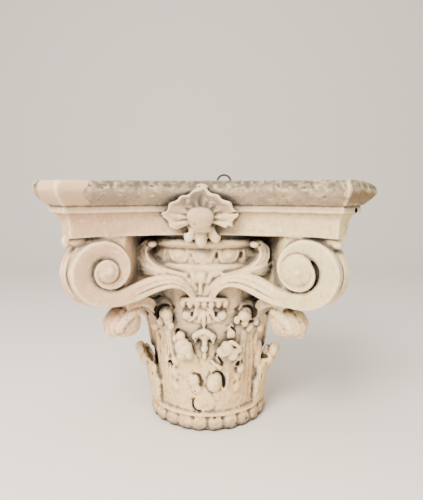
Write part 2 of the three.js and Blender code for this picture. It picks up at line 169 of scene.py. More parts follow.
# Small holes in the beads.
for azimuth, z in ((21, 6), (29, 9), (7, 4), (34, 7), (41, 12), (-12, 22), (16, 20)):
    pit(azimuth, 99.5, z, (1.7, 1.5, 2.4))


def sweep(path, outs, widths, section, depth=1):
    """A bar along a path. The section's points are (across, out), across in half widths."""
    path = np.asarray(path, float)
    outs = np.broadcast_to(np.asarray(outs, float), path.shape)
    along = np.gradient(path, axis=0)
    along /= np.linalg.norm(along, axis=1, keepdims=True)
    side = np.cross(along, outs)
    side /= np.linalg.norm(side, axis=1, keepdims=True)
    out = np.cross(side, along)
    widths = np.broadcast_to(widths, len(path))
    depths = np.broadcast_to(depth, len(path))
    section = np.asarray(section, float)
    return loft(
        path[:, None]
        + side[:, None] * (widths[:, None] * section[:, 0])[..., None]
        + out[:, None] * (depths[:, None] * section[:, 1])[..., None]
    )


CIRCLE = [(math.cos(a), math.sin(a)) for a in np.radians(np.arange(0, 360, 30))]


def bar(path, outs, girth, taper=(1, 1), blunt=0.12, flat=1):
    """A round bar whose girth goes from the first taper to the second, with rounded ends."""
    along = np.linspace(0, 1, len(path))
    from_end = np.minimum(np.minimum(along, 1 - along) / blunt, 1)
    ends = np.sqrt(np.clip(1 - (1 - from_end) ** 2, 0.02, 1))
    widths = girth * np.interp(along, [0, 1], taper) * ends
    return sweep(path, outs, widths, CIRCLE, widths * flat)


def smooth_path(points, count=24):
    """A Catmull-Rom curve through points, as evenly spaced points along it."""
    points = np.asarray(points, float)
    ends = np.vstack([2 * points[0] - points[1], points, 2 * points[-1] - points[-2]])
    fine = []
    for i in range(len(points) - 1):
        a, b, c, d = ends[i:i + 4]
        for t in np.linspace(0, 1, 16, endpoint=False):
            fine.append(0.5 * (2 * b + (c - a) * t + (2 * a - 5 * b + 4 * c - d) * t ** 2
                               + (3 * b - a - 3 * c + d) * t ** 3))
    fine = np.vstack([fine, points[-1]])
    gaps = np.linalg.norm(np.diff(fine, axis=0), axis=1)
    reach = np.concatenate([[0], np.cumsum(gaps)])
    wanted = np.linspace(0, reach[-1], count)
    return np.stack([np.interp(wanted, reach, fine[:, k]) for k in range(fine.shape[1])], -1)


def roll(points, girth, into=added, count=24, **shape):
    """A roll laid on the bell through (azimuth, radius, z) points."""
    line = smooth_path(points, count)
    path = on_bell(line[:, 0], line[:, 1], line[:, 2])
    into.append(bar(path, on_bell(line[:, 0], 1, 0), girth, **shape))
    if into is carved and girth > 1.5:
        for sunk in (0, 0.7 * girth * shape.get("flat", 1)):
            deeper = on_bell(line[2:-2:2, 0], line[2:-2:2, 1] - sunk, line[2:-2:2, 2])
            drilled.extend([*point, girth * 0.95] for point in deeper)


score = functools.partial(roll, into=carved)

# The scored lines, over and under the rim, and chips out of the rim.
for radius, z in ((93.2, 31.4), (96, 23.6)):
    score([(azimuth, radius, z) for azimuth in range(-88, 89, 8)], 1.15, count=120)

for azimuth, half in ((1.5, 2.6), (8, 3.2), (15.5, 2.4)):
    pit(azimuth, 100, 22, (half, 1.3, 3.4))


# ---- Abacus: a slab with four hollow faces that meet in cut-off horns. Its moulding runs as a
# ---- hollow below, a flat fillet, and a plump round above with a rubbed top edge.
TOTAL_HEIGHT = 389
ABACUS_BOTTOM = 313
FACE_SAG_RADIUS = 283
FACE_CENTRE_OUT = 129.3
HORN_CUT = 361
HORN_CUT_PER_PROJECTION = 1.2
CAVETTO = (33.4, 11.5)          # height, projection
FILLET = (8.3, 15.5)
OVOLO_NOSE = (378, 34.5)        # level, projection
TOP_EDGE_PROJECTION = 23


def abacus_levels():
    levels = []
    for turn in np.radians(np.linspace(0, 90, 14)):
        levels.append((ABACUS_BOTTOM + CAVETTO[0] * math.sin(turn), CAVETTO[1] * (1 - math.cos(turn))))
    fillet_foot = ABACUS_BOTTOM + CAVETTO[0]
    fillet_top = fillet_foot + FILLET[0]
    levels += [(fillet_foot + 0.4, FILLET[1]), (fillet_top - 0.5, FILLET[1] + 0.4)]
    levels += [(fillet_top + 0.3, FILLET[1] - 1.4), (fillet_top + 1.6, FILLET[1] - 0.6)]
    ovolo_foot = FILLET[1] + 1.8
    for rise in np.linspace(0.04, 1, 12):
        level = fillet_top + 1.6 + (OVOLO_NOSE[0] - fillet_top - 1.6) * rise
        levels.append((level, ovolo_foot + (OVOLO_NOSE[1] - ovolo_foot) * (1 - (1 - rise) ** 1.6)))
    for turn in np.radians(np.linspace(8, 90, 10)):
        level = OVOLO_NOSE[0] + (TOTAL_HEIGHT - OVOLO_NOSE[0]) * math.sin(turn)
        round_over = OVOLO_NOSE[1] - TOP_EDGE_PROJECTION
        levels.append((level, TOP_EDGE_PROJECTION + round_over * math.cos(turn)))
    return levels


def quarter_turn(points, quarter):
    """Turned about the axis by quarters: 0 stays at the front, 1 goes right, and -1 goes left."""
    x, y, z = np.moveaxis(np.asarray(points, float), -1, 0)
    cos, sin = [(1, 0), (0, 1), (-1, 0), (0, -1)][quarter % 4]
    return np.stack([x * cos - y * sin, x * sin + y * cos, z], -1)


def abacus_outline(level, projection):
    """One level's plan: four arcs, each ending where the 45 degree cut of the horn takes over."""
    centre_out = FACE_CENTRE_OUT + projection + FACE_SAG_RADIUS
    cut = HORN_CUT + HORN_CUT_PER_PROJECTION * projection
    shift = cut - centre_out
    corner_x = (shift + math.sqrt(2 * FACE_SAG_RADIUS ** 2 - shift ** 2)) / 2
    x = corner_x * np.linspace(-1, 1, 60)
    y = np.sqrt(FACE_SAG_RADIUS ** 2 - x ** 2) - centre_out
    face = np.stack([x, y, np.full_like(x, level)], -1)
    return np.vstack([quarter_turn(face, quarter) for quarter in range(4)])


added.append(loft([abacus_outline(*level) for level in abacus_levels()]))
for hand in (-1, 1):
    # A knob under each horn, where the moulding meets the volutes.
    pellet(45 * hand, 238, 309, (9, 9, 16))
# The knobs' tips are worn unlike, and the right horn has a hole.
pellet(-45, 256, 309, (5, 9.5, 6.5))
pellet(45, 248, 304, (8.5, 6, 8))
pit(47, 266, 351, (4, 3.4, 6))


# ---- Echinus: a round cushion of plaster under the abacus, one with the bell. It carries eggs in
# ---- husks with slots for darts between them, a rolled rim above and a plain rim below.
ECHINUS_BOTTOM = 257
ECHINUS_RADIUS = 123
EGG_STEP = 17.8
EGG_START = -1.2
ECHINUS_END = 100               # degrees either way, behind the cut back
CLOGGED_DART = -2               # paint fills the slot beside this egg
SLIM_DART = -1
HUSK = ((2.2, -2, 33), (2.8, -2, 24), (4.6, -3, 15))    # azimuth from the dart, out, up


def on_echinus(azimuth, out, up):
    return azimuth, ECHINUS_RADIUS + out, ECHINUS_BOTTOM + up


# Its profile, as steps out from its radius and up from its bottom.
ECHINUS_PROFILE = [
    (-31, -38), (-24, -30), (-17, -22), (-11, -14), (-8, -6), (-6, -1), (-2, 2), (-0.5, 6), (-1.5, 10),
    (-4.5, 12.5), (-4.5, 17), (-3, 24), (-2.5, 31), (-3.5, 35), (1, 38), (5.5, 41), (6.5, 45), (5, 49),
    (1, 51), (0.5, 53), (0.5, 59), (-23, 60),
]
added.append(turned([on_echinus(0, *step)[1:] for step in ECHINUS_PROFILE]))
for egg in range(-6, 7):
    azimuth = EGG_START + egg * EGG_STEP
    if abs(azimuth) < ECHINUS_END:
        pellet(*on_echinus(azimuth, -9, 23.5), (14.5, 12, 8.4), lean=-8, plump=2.6)
        pellet(*on_echinus(azimuth, -1.4, 25), (5.5, 5, 2.6))
    dart = azimuth + EGG_STEP / 2
    if abs(dart) < ECHINUS_END:
        if egg != CLOGGED_DART:
            girth = 1.45 if egg == SLIM_DART else 1.7
            score([on_echinus(dart + 0.4, -1, 29), on_echinus(dart, -2, 21)], girth, flat=2.6)
        for hand in (-1, 1):
            husk = [on_echinus(dart + hand * turn, out, up) for turn, out, up in HUSK]
            roll(husk, 1.7, blunt=0.3)


# ---- Volutes: broad bands that rise from the middle as stems, dip, and wind into a coil under
# ---- each horn. They lie on upright curved sheets that follow the hollow faces of the abacus.
SHEET_RADIUS = 281
SHEET_CENTRE_OUT = 410
VOLUTE_EYE = (138, 267)         # along the sheet, up
SPIRAL_SHRINK = 0.149           # per radian
SPIRAL_END = 575                # degrees
COIL_RISE = 10
FLUTES = (-0.28, 0.38)          # across the stem, in half widths
DISC = ((-30, 26), (-18, 34), (-6, 36))     # level and radius of the disc under a coil


def on_sheet(quarter, s, z, out):
    turn = np.asarray(s, float) / SHEET_RADIUS
    reach = SHEET_RADIUS - np.asarray(out, float)
    x, y, z = np.broadcast_arrays(reach * np.sin(turn), reach * np.cos(turn) - SHEET_CENTRE_OUT, z)
    return quarter_turn(np.stack([x, y, z], -1), quarter)


def sheet_out(quarter, s):
    turn = np.asarray(s, float) / SHEET_RADIUS
    return quarter_turn(np.stack([-np.sin(turn), -np.cos(turn), 0 * turn], -1), quarter)


def sheet_pellet(quarter, s, z, out, half, tilt=0, lean=0, narrow=0, plump=2, into=added):
    """An egg on the sheet. tilt turns its top towards lower s, and lean tips its face up."""
    direction = sheet_out(quarter, s) + np.array([0, 0, math.tan(math.radians(lean))])
    into.append(egg_shell(frame_at(on_sheet(quarter, s, z, out), direction, tilt), half, narrow, plump))


sheet_pit = functools.partial(sheet_pellet, into=carved)


def sheet_score(quarter, points, girth, **shape):
    """A line cut in the sheet through (along, up, out) points."""
    line = smooth_path(points)
    carved.append(bar(on_sheet(quarter, *line.T), sheet_out(quarter, line[:, 0]), girth, **shape))


# Along the sheet, up, half width and out, for the middle of each stem from its foot.
SLIM_STEM = [
    (13.4, 208, 4.6, -21), (16, 218.5, 4.6, -16), (24.3, 233, 6, -7), (36, 243, 8, -1),
    (50, 246, 9.5, 1), (65, 244, 11, 0), (82, 239, 12, 1), (102, 232, 12.5, 3), (124, 228, 12, 4),
]
BROAD_STEM = [
    (6.2, 208, 5, -21), (8.7, 221, 5.6, -15), (17.2, 237, 7.5, -6), (32, 247, 9.5, -1),
    (51, 248, 11.5, 1), (70, 242, 13.5, 0), (88, 234, 14, 1), (106, 228, 13, 3), (124, 226, 12, 4),
]


def scroll_line(stem, radius):
    foot = smooth_path(stem, 40)
    degrees = np.linspace(-86, SPIRAL_END, 130)
    outer = radius * np.exp(-SPIRAL_SHRINK * np.radians(np.maximum(degrees, 0)))
    inner = radius * np.exp(-SPIRAL_SHRINK * np.radians(degrees + 360))
    middle = (outer + inner) / 2
    rise = np.clip((degrees - 100) / (SPIRAL_END - 100), 0, 1)
    coil = np.stack([
        VOLUTE_EYE[0] + middle * np.cos(np.radians(degrees)),
        VOLUTE_EYE[1] + middle * np.sin(np.radians(degrees)),
        (outer - inner) / 2,
        4 + COIL_RISE * rise,
    ], -1)
    return np.vstack([foot, coil])


# The band's face is nearly flat, with a rubbed outer edge, and falls away to its inner edge.
BAND_BACK = -12
BAND = [(1, BAND_BACK), (1, -2.6), (0.98, -0.6), (0.91, 0.9), (0.78, 1.5), (0.4, 1.2), (0, 1),
        (-0.45, 0.6), (-0.70, -0.6), (-0.86, -2.8), (-0.96, -5.4), (-1, -7.2),
        (-1, BAND_BACK)]


def add_scroll(quarter, hand, stem, radius, groove):
    line = scroll_line(stem, radius)
    s = hand * line[:, 0]
    path = on_sheet(quarter, s, line[:, 1], line[:, 3])
    outs = sheet_out(quarter, s)
    start, end, girth, out, fall = groove
    section = [(hand * across, up * fall if across < 0 and up > BAND_BACK else up) for across, up in BAND]
    added.append(sweep(path, outs, line[:, 2] * 0.99, section))
    # Two flutes run along the stem and fade before the coil.
    stem_line = line[6:36]
    along = np.gradient(stem_line[:, :2], axis=0)
    along /= np.linalg.norm(along, axis=1, keepdims=True)
    for across in FLUTES:
        lane_s = hand * (stem_line[:, 0] - along[:, 1] * across * stem_line[:, 2])
        lane_z = stem_line[:, 1] + along[:, 0] * across * stem_line[:, 2]
        lane = on_sheet(quarter, lane_s, lane_z, stem_line[:, 3] + 1.3)
        carved.append(bar(lane, sheet_out(quarter, lane_s), 1.9, taper=(0.9, 1.2), blunt=0.45))
    # The coil stands on a thick disc, and rises to a knob.
    disc = np.radians(np.linspace(0, 360, 40, endpoint=False))
    rings = []
    for level, reach in DISC:
        disc_s = hand * (VOLUTE_EYE[0] + 10 + reach * np.cos(disc))
        rings.append(on_sheet(quarter, disc_s, VOLUTE_EYE[1] - 2 + reach * np.sin(disc), level))
    added.append(loft(rings))
    sheet_pellet(quarter, hand * VOLUTE_EYE[0], VOLUTE_EYE[1], COIL_RISE - 1, (15, 15, 7))
    sheet_pellet(quarter, hand * (VOLUTE_EYE[0] - 1), VOLUTE_EYE[1] + 1, COIL_RISE + 3, (7, 7, 5.5))
    # The undercut line where the outer turn passes the coil.
    degrees = np.linspace(start, end, 40)
    reach = radius * np.exp(-SPIRAL_SHRINK * np.radians(degrees + 360)) - 0.8
    cut_s = hand * (VOLUTE_EYE[0] + reach * np.cos(np.radians(degrees)))
    cut = on_sheet(quarter, cut_s, VOLUTE_EYE[1] + reach * np.sin(np.radians(degrees)), out)
    carved.append(bar(cut, sheet_out(quarter, cut_s), girth, blunt=0.45, flat=2.2))


# From and to in degrees, girth, level, and how far the band falls away towards the coil.
SOFT_GROOVE = (-130, 130, 1.9, 4.6, 0.6)
DEEP_GROOVE = (-80, 88, 3, -1, 1)
add_scroll(0, -1, SLIM_STEM, 51.5, SOFT_GROOVE)
add_scroll(0, 1, BROAD_STEM, 54.5, DEEP_GROOVE)
# The right coil of the front is worn to a dome.
sheet_pellet(0, 133.5, 269.5, 7, (23, 21.5, 9.5))
add_scroll(-1, 1, SLIM_STEM, 53, SOFT_GROOVE)
add_scroll(1, -1, SLIM_STEM, 53, SOFT_GROOVE)

# The solid wedge between the backs of two volutes, out to the narrow strap at the corner, which
# bows outwards between the corner leaf and the horn.
STRAP_MIDDLE, STRAP_HALF = 265, 52
STRAP_REACH, STRAP_BOW = 206, 45.5
for hand in (-1, 1):
    rings = []
    for z in np.linspace(214, 318, 28):
        bow = math.sqrt(max(1 - ((z - STRAP_MIDDLE) / STRAP_HALF) ** 2, 0))
        tip = STRAP_REACH + STRAP_BOW * bow
        plan = [(90, 6), (147, 6), (165, 17), (182, 27), (min(205, tip - 4), 21), (tip - 2, 9)]
        plan += [(tip + 2, 3)]
        plan = [(reach, -across) for reach, across in plan] + plan[::-1]
        azimuth = math.radians(45 * hand)
        radial = np.array([math.sin(azimuth), -math.cos(azimuth)])
        side = np.array([math.cos(azimuth), math.sin(azimuth)])
        rings.append([[*(radial * reach + side * across), z] for reach, across in plan])
    added.append(loft(rings))


# ---- Leaves: two rows of acanthus against the bell and a large one under each horn, all one with
# ---- the cast. Each is a slab with a rolled tip, ribbed with pipes, its edges in lobes parted by
# ---- drilled eyes. Pellets and rolls build up its tip and edges, and pits and scores part them.
class Leaf:
    """A leaf's own surface: across in mm, along from 0 at the foot to 1 at the tip, and lift."""

    def __init__(self, azimuth, spine):
        self.azimuth = azimuth
        self.spine = smooth_path(spine, 80)
        slope = np.gradient(self.spine, axis=0)
        slope /= np.linalg.norm(slope, axis=1, keepdims=True)
        self.normal = np.stack([slope[:, 1], -slope[:, 0]], -1)
        self.along = np.linspace(0, 1, len(self.spine))

    def at(self, across, along, lift):
        across, along, lift = np.broadcast_arrays(across, along, lift)
        columns = (*self.spine.T, *self.normal.T)
        radius, z, out, up = (np.interp(along, self.along, column) for column in columns)
        azimuth = self.azimuth + np.degrees(across / np.maximum(radius, 60))
        return on_bell(azimuth, radius + out * lift, z + up * lift)

    def outs(self, across, along):
        return self.at(across, along, 1) - self.at(across, along, 0)

    def slab(self, widths, crown=4, foot_depth=12, tip_depth=3):
        """The body of the leaf. widths are (along, half width) pairs."""
        along = np.linspace(0, 1, 40)
        half = np.interp(along, *np.array(widths).T)
        across = np.linspace(-1, 1, 15)
        rings = []
        for t, width in zip(along, half):
            depth = foot_depth + (tip_depth - foot_depth) * min(1, max(0, (t - 0.35) / 0.3))
            front = self.at(across * width, t, crown * (1 - across ** 2) - 0.5)
            back = self.at(across[::-1] * width, t, -depth)
            rings.append(np.vstack([front, back]))
        added.append(loft(rings))

    def finger(self, points, girth, **shape):
        """A bar on the leaf through (across, along, lift) points."""
        line = smooth_path(points, 20)
        added.append(bar(self.at(*line.T), self.outs(line[:, 0], line[:, 1]), girth, **shape))

    def knob(self, across, along, lift, half, tilt=0):
        place = frame_at(self.at(across, along, lift), self.outs(across, along), tilt)
        added.append(egg_shell(place, half))


LOWER_SPINE = [(89.5, 28), (91, 60), (93, 90), (97, 115), (103, 135), (110, 147)]
UPPER_SPINE = [(89, 50), (91.5, 90), (94.5, 125), (99, 152), (105, 176), (111, 190)]
SIDE_SPINE = [(95, 28), (98, 47), (101, 65), (105, 85), (108, 100), (112, 112), (115, 119)]

for hand in (-1, 1):
    # Lower front leaf: a low worn body, its pipes, and lobes at its outer edge.
    leaf = Leaf(18 * hand, LOWER_SPINE)
    leaf.slab([(0, 24), (0.3, 25), (0.55, 23), (0.72, 17), (0.88, 13), (1, 9)], crown=3)
    for across in (-3, 3):
        leaf.finger([(across * 1.6, 0.04, 1), (across, 0.4, 1.4), (across, 0.72, 2)], 3, flat=0.6)
    for across, along, half in ((20, 0.68, (7, 9, 5)), (22, 0.50, (7, 10, 4.5)), (22, 0.33, (7, 10, 4))):
        leaf.knob(hand * across, along, 0.5, half, tilt=hand * -20)
    # Pipes that run up beside it to the upper leaf.
    for azimuth, top, girth in ((38, 130, 4.4), (43.5, 150, 5), (49.5, 156, 5), (55.5, 150, 5)):
        pipe = [(0, 88.4, 34), (0.6, 90, 60), (-0.6, 93.4, 100), (-3, 97.6, top)]
        roll([(hand * (azimuth + turn), *spot) for turn, *spot in pipe], girth, blunt=0.3, flat=0.6)

# Tips of the lower front leaves: blunt, rolled over, lightly fluted. First the left one, with the
# drilled eye and the lobe beside it, then the right one, which a long cut parts from its neighbour.
pellet(-17.8, 109, 139, (13.5, 13.5, 10.5), tilt=10, plump=2.3)
pellet(-21.6, 105, 155, (8, 8, 6.5))
pellet(-19.5, 109, 128, (8.5, 9, 9.5), tilt=-10)
pellet(-13.5, 109, 130, (6.5, 8.5, 9), tilt=8)
for azimuth, z in ((-20.5, 150), (-16.2, 148), (-12.5, 143)):
    score([(azimuth, 116, z), (azimuth - 2.5, 120, z - 9), (azimuth - 6, 117, z - 20)], 1.4, blunt=0.4)
pit(-13.2, 106, 151, (2.4, 4, 5), tilt=-20)
pit(-33.8, 100, 107, (3, 6, 7.5), tilt=20)
pellet(-36.6, 101, 112, (5, 8, 5), tilt=20)

pellet(17, 110, 139, (10, 11, 10), plump=2.3)
pellet(22.4, 109, 130, (8, 11, 9), tilt=-18, plump=2.3)
pellet(12.5, 109, 134, (6.5, 8.5, 8), tilt=20)
pellet(21.6, 105, 159, (7.5, 9, 5), tilt=-25)
for azimuth, z in ((9.5, 140), (13, 145), (17, 150)):
    score([(azimuth, 115, z), (azimuth + 3.5, 120, z - 7), (azimuth + 8, 117, z - 15)], 1.4, blunt=0.4)
roll([(18, 113, 152), (22, 117, 147), (26, 116, 139), (27.5, 111, 130)], 3.2, taper=(0.8, 0.9))
score([(9, 101, 126), (11.5, 101, 121), (13.8, 100, 115), (15.4, 99, 109)], 2.8, taper=(0.6, 1),
      blunt=0.4, flat=2.6)
pit(29.4, 101, 109, (3, 6, 8), tilt=-28)
pellet(29.6, 104, 122, (6, 8, 5.5), tilt=-25)
pellet(32, 101, 100, (6, 9, 4.5), tilt=-15)
roll([(4, 98, 119), (7, 100, 113), (10.8, 100.5, 108), (14.5, 99, 102)], 4.2, taper=(0.7, 0.8), flat=0.8)

# Upper front leaves, left and then right: a ball of a tip with a hollow drilled round it, lobes and
# eyes beside it.
for hand in (-1, 1):
    leaf = Leaf(34.5 * hand, UPPER_SPINE)
    leaf.slab([(0, 12), (0.35, 17), (0.62, 23), (0.76, 19), (0.88, 10), (1, 6)], crown=3)
    for across in (-4, 3):
        leaf.finger([(across, 0.1, 2), (across, 0.5, 3), (across * 0.6, 0.8, 3)], 2.8)
pellet(-41, 104, 195, (22, 17, 10.5), plump=2.4)
pellet(-32, 113, 189, (9.5, 9.5, 8.5))
pellet(-32, 110, 180, (8, 9, 7))
pellet(-28.6, 110, 171, (5.2, 6, 5.5))
pellet(-40, 110, 176, (7, 8.5, 6), tilt=20)
pellet(-47.5, 110, 166, (7.5, 9, 5.5), tilt=25)
pellet(-26, 105, 150, (5.5, 6.5, 5))
score([(-40.8, 114, 178), (-41.4, 116, 188), (-39.8, 117, 196.5), (-35.5, 117, 201.5), (-30, 116, 201.5),
       (-26.4, 112, 194)], 3.9, taper=(1.2, 0.8), blunt=0.35, flat=2.8)
pit(-26.4, 103, 161, (3, 5.2, 9), tilt=-25)
for azimuth in (-36, -31):
    score([(azimuth, 119, 195), (azimuth, 121.5, 189), (azimuth, 119, 182)], 1.1)

pellet(39, 104, 193, (20, 17, 10.5), plump=2.4)
pellet(31, 113, 187, (10.5, 8.5, 8.5), tilt=-8)
pellet(25.2, 110, 181, (5, 6.5, 6), tilt=20)
pellet(32, 110, 177, (6.5, 8, 7))
pellet(43.2, 112, 174, (5.2, 5.8, 6))
pellet(38, 108, 167, (6, 8, 5), tilt=-20)
pellet(49.5, 110, 163, (7, 8.5, 5.5), tilt=-25)
pellet(22, 100, 167, (5.5, 8, 5), tilt=-30)
score([(24.5, 113, 193), (28.5, 116, 199.5), (33.5, 117, 202), (38, 117, 197.5), (39.6, 115, 188),
       (39.6, 112, 179)], 4.1, taper=(0.6, 1), blunt=0.35, flat=2.8)
pit(27.2, 113, 180, (1.7, 4, 5), tilt=-20)
score([(20.8, 103, 171), (24, 105, 166), (26, 104, 158)], 2, blunt=0.4, flat=2.8)
pit(46, 112, 183, (2.2, 3.6, 6))
pit(55.4, 110, 164, (2.6, 5, 7), tilt=-15)

# Side leaves: seen edge-on from the front, their tips stand clear of the bell.
for hand in (-1, 1):
    leaf = Leaf(69 * hand, SIDE_SPINE)
    leaf.slab([(0, 24), (0.3, 25), (0.55, 23), (0.72, 19), (0.88, 14), (1, 8)], foot_depth=14, tip_depth=11)
    pellet(69 * hand, 117.5, 117, (15, 11, 8.5), lean=-8, plump=2.2)
    pellet(68 * hand, 112, 104, (15, 14, 8.5), lean=-8, plump=2.2)
    for across in (-5.5, 0, 5.5):
        score([(69 * hand + across, 125, 127), (69 * hand + across, 129, 118),
               (69 * hand + across, 127, 104)], 1.5, blunt=0.4)
    for across in (-14, -7, 0, 7, 14):
        leaf.finger([(across * 1.2, 0.02, 0.5), (across, 0.4, 1.4), (across * 0.7, 0.8, 1.4)], 3.6,
                    flat=0.7)
    for side in (-1, 1):
        leaf.finger([(side * 21, 0.03, -3), (side * 22, 0.3, -3), (side * 20, 0.55, -3),
                     (side * 13, 0.88, -3)], 5.5)
        leaf.knob(side * 21, 0.62, -3.5, (6.5, 11, 6), tilt=side * -16)
        leaf.knob(side * 23, 0.36, -3.5, (6.5, 12, 6), tilt=side * -12)
    leaf = Leaf(63 * hand, [(96, 112), (99, 140), (103, 162), (108, 182), (112, 198)])
    leaf.slab([(0, 14), (0.35, 21), (0.7, 24), (1, 22)], crown=-2, foot_depth=14, tip_depth=14)
    for across in (-22, 22):
        leaf.finger([(across * 0.7, 0.05, 0), (across, 0.4, 1), (across, 0.9, 1.5)], 3.4, flat=0.8)
    leaf = Leaf(100 * hand, UPPER_SPINE)
    leaf.slab([(0, 16), (0.35, 18), (0.62, 23), (0.76, 19), (0.88, 11), (1, 7)], crown=3.5)
    leaf.knob(0, 1, -2, (11.5, 10, 9))
    for across, along in ((-19, 0.62), (-17, 0.74), (-11, 0.86), (19, 0.62), (17, 0.74), (11, 0.86)):
        leaf.knob(across, along, 1.5, (6, 8, 5), tilt=-1.1 * across)
# The left side leaf is cut through beside the bell, and the right one is filled there but for an eye.
score([(-66.5, 109, 131), (-64, 108, 121), (-60.5, 106, 110), (-57.5, 103, 98)], 4.4, taper=(1.1, 0.8),
      blunt=0.3, flat=2.2)
pellet(57.5, 96, 112, (8.5, 24, 8), tilt=-4, plump=2.4)
pit(-58.5, 101, 79, (2.4, 5, 7))
pit(59.5, 108, 109, (5.5, 5.2, 9), tilt=20)
pit(58, 101, 76, (2.6, 5, 7))

# Corner leaves: each leaves the bell behind the front leaves and sweeps out to a heavy curl.
CORNER_SPINE = [(98, 142), (106, 164), (118, 184), (136, 200), (158, 209), (176, 205)]
# The lobes of the curl, by how far each lies to either side: points out along the corner and up.
CURL_LOBES = {
    18: [(150, 200), (170, 198), (186, 184), (186, 172)],
    9: [(150, 203), (174, 201), (190, 184), (189, 168)],
    0: [(150, 204), (176, 202), (192, 183), (188, 164)],
}
LOBE_GIRTH = 8.5


def at_corner(hand, across, reach, z):
    azimuth = math.radians(45 * hand)
    return [reach * math.sin(azimuth) + across * math.cos(azimuth),
            -reach * math.cos(azimuth) + across * math.sin(azimuth), z]


for hand in (-1, 1):
    leaf = Leaf(45 * hand, CORNER_SPINE)
    leaf.slab([(0, 6), (0.3, 7), (0.5, 13), (0.7, 24), (0.85, 24), (1, 20)], crown=2, foot_depth=10,
              tip_depth=14)
    outward = on_bell(45 * hand, 1, 0)
    added.append(egg_shell(frame_at(at_corner(hand, 0, 169, 184), outward), (24, 22, 22), plump=2.4))
    for across in (-18, -9, 0, 9, 18):
        lobe = smooth_path(CURL_LOBES[abs(across)], 24)
        spread = np.interp(np.linspace(0, 1, 24), [0, 0.6, 1], [0.9, 1, 0.75])
        path = np.array([at_corner(hand, across * wide, *spot) for wide, spot in zip(spread, lobe)])
        middle = np.array([at_corner(hand, 0, 165, 188)])
        added.append(bar(path, path - middle, LOBE_GIRTH, taper=(0.8, 1), blunt=0.2))
    for across, z in ((-13, 186), (13, 186), (-4.5, 176), (4.5, 176)):
        place = frame_at(at_corner(hand, across, 197, z), outward, tilt=across)
        carved.append(egg_shell(place, (1.2, 3.6, 4)))
    pellet(hand * 46, 116, 203, (8, 8.2, 8))
    pellet(hand * 53, 116, 197, (7, 8, 8))
    pellet(hand * 60, 115, 188, (8, 12, 8), tilt=hand * -20)
    pit(hand * 50.5, 117, 190, (2.2, 5, 6), tilt=hand * -30)


# ---- Hugging leaves: a half leaf springs from each stem, bends round the end of the echinus and
# ---- curls over its rim, with a serrated lobe below it. It is modelled free of the bell, but cast
# ---- with it, so plaster fills the space behind it.
HUG_SECTION = [
    (-1, -18), (-1, 0.8), (-0.72, 2.6), (-0.35, 1), (0.05, 2.2), (0.45, 0.8), (0.85, 2.6), (1, 0.6),
    (1, -18),
]
HUG_LINE = [
    (12, 124, 253.5), (20, 130, 256.5), (27, 136, 260), (33.5, 140.5, 265.5), (39.4, 143, 276.5),
    (40.8, 143, 289), (37.5, 143, 298),
]
for hand, bend in ((-1, 1), (1, 0.91)):
    line = smooth_path([(hand * bend * azimuth, radius, z) for azimuth, radius, z in HUG_LINE], 44)
    girth = np.interp(np.linspace(0, 1, 44), [0, 0.25, 0.45, 0.7, 0.92, 1], [2.6, 3.8, 5.6, 8.8, 8, 5.5])
    added.append(sweep(on_bell(*line.T), on_bell(line[:, 0] * 0.55, 1, 0), girth, HUG_SECTION))
    pellet(hand * bend * 36, 107, 281, (20, 22, 14.5), plump=2.8)
    pellet(hand * bend * 33.2, 140, 299.5, (6.8, 5.8, 7.5))
    pellet(hand * bend * 36.5, 138, 303, (8, 4.5, 8))
    roll([(hand * 4.5 - 2, 113, 228), (hand * 8 - 1.5, 118, 241), (hand * 14 - 1, 123, 250),
          (hand * 22, 129, 256), (hand * 28, 134, 259)], 5.6, taper=(0.7, 1.1))
    for tip in ((48, 143, 270), (45.5, 143, 261), (43, 142, 253.5)):
        roll([(hand * bend * 24, 135, 255), (hand * bend * 35, 142, (tip[2] + 256) / 2 + 1),
              (hand * bend * tip[0], tip[1] + 1, tip[2])], 4.8, taper=(1.1, 0.75))


# ---- Calyx, curls and pendant: the stems rise from a little cup of leaflets. Under it hang a pair
# ---- of curls, three strands and a hooded bud, in low relief and one with the bell.
PENDANT_MIDDLE = -1.4           # azimuth

roll([(-21.5, 106, 212.5), (-12.5, 110.5, 215), (-1, 111.5, 216), (9, 110.5, 215), (19, 106, 212.5)], 3.6)
score([(-19, 108, 218.5), (-10, 109.5, 220.5), (7, 109.5, 220.5), (16, 108, 218.5)], 1)
for leaflet in (-18.3, -12.6, -6.8, -1, 4.7, 10.3, 15.8):
    pellet(leaflet, 106, 208, (5.2, 7.6, 7.6), narrow=-0.15)
for azimuth, z, strand in ((-16.2, 188.5, -1), (13.6, 189, 1)):
    pellet(azimuth, 103.5, z, (7.6, 7.6, 6.5))
    turns = np.radians(np.linspace(-60, 330, 30))
    reach = np.linspace(6, 1.5, 30)
    swirl = np.stack([azimuth - strand * np.degrees(reach * np.cos(turns) / 104), np.full(30, 110),
                      z + reach * np.sin(turns)], -1)
    carved.append(bar(on_bell(*swirl.T), on_bell(swirl[:, 0], 1, 0), 0.9, blunt=0.3, flat=1.6))
    # Two of the three strands, either side of the middle one.
    outer = [(5, 104, 206), (6, 105, 197), (8.2, 105, 188), (11.5, 104, 181.5)]
    outer = [(PENDANT_MIDDLE + strand * turn, *spot) for turn, *spot in outer]
    roll([*outer, (azimuth, 104, 180.5)], 3.5, taper=(1.15, 0.8))
    inner = [(2.6, 104, 206), (3.2, 104.5, 192), (4.6, 102, 176)]
    roll([(PENDANT_MIDDLE + strand * turn, *spot) for turn, *spot in inner], 2.6)
    pit(PENDANT_MIDDLE + strand * 9.6, 105.5, 191, (1.7, 4.4, 4.5), tilt=strand * -10)
roll([(-1.4, 104, 206), (-1.5, 105, 190), (-1.6, 102, 170)], 3.2, taper=(1, 0.9))
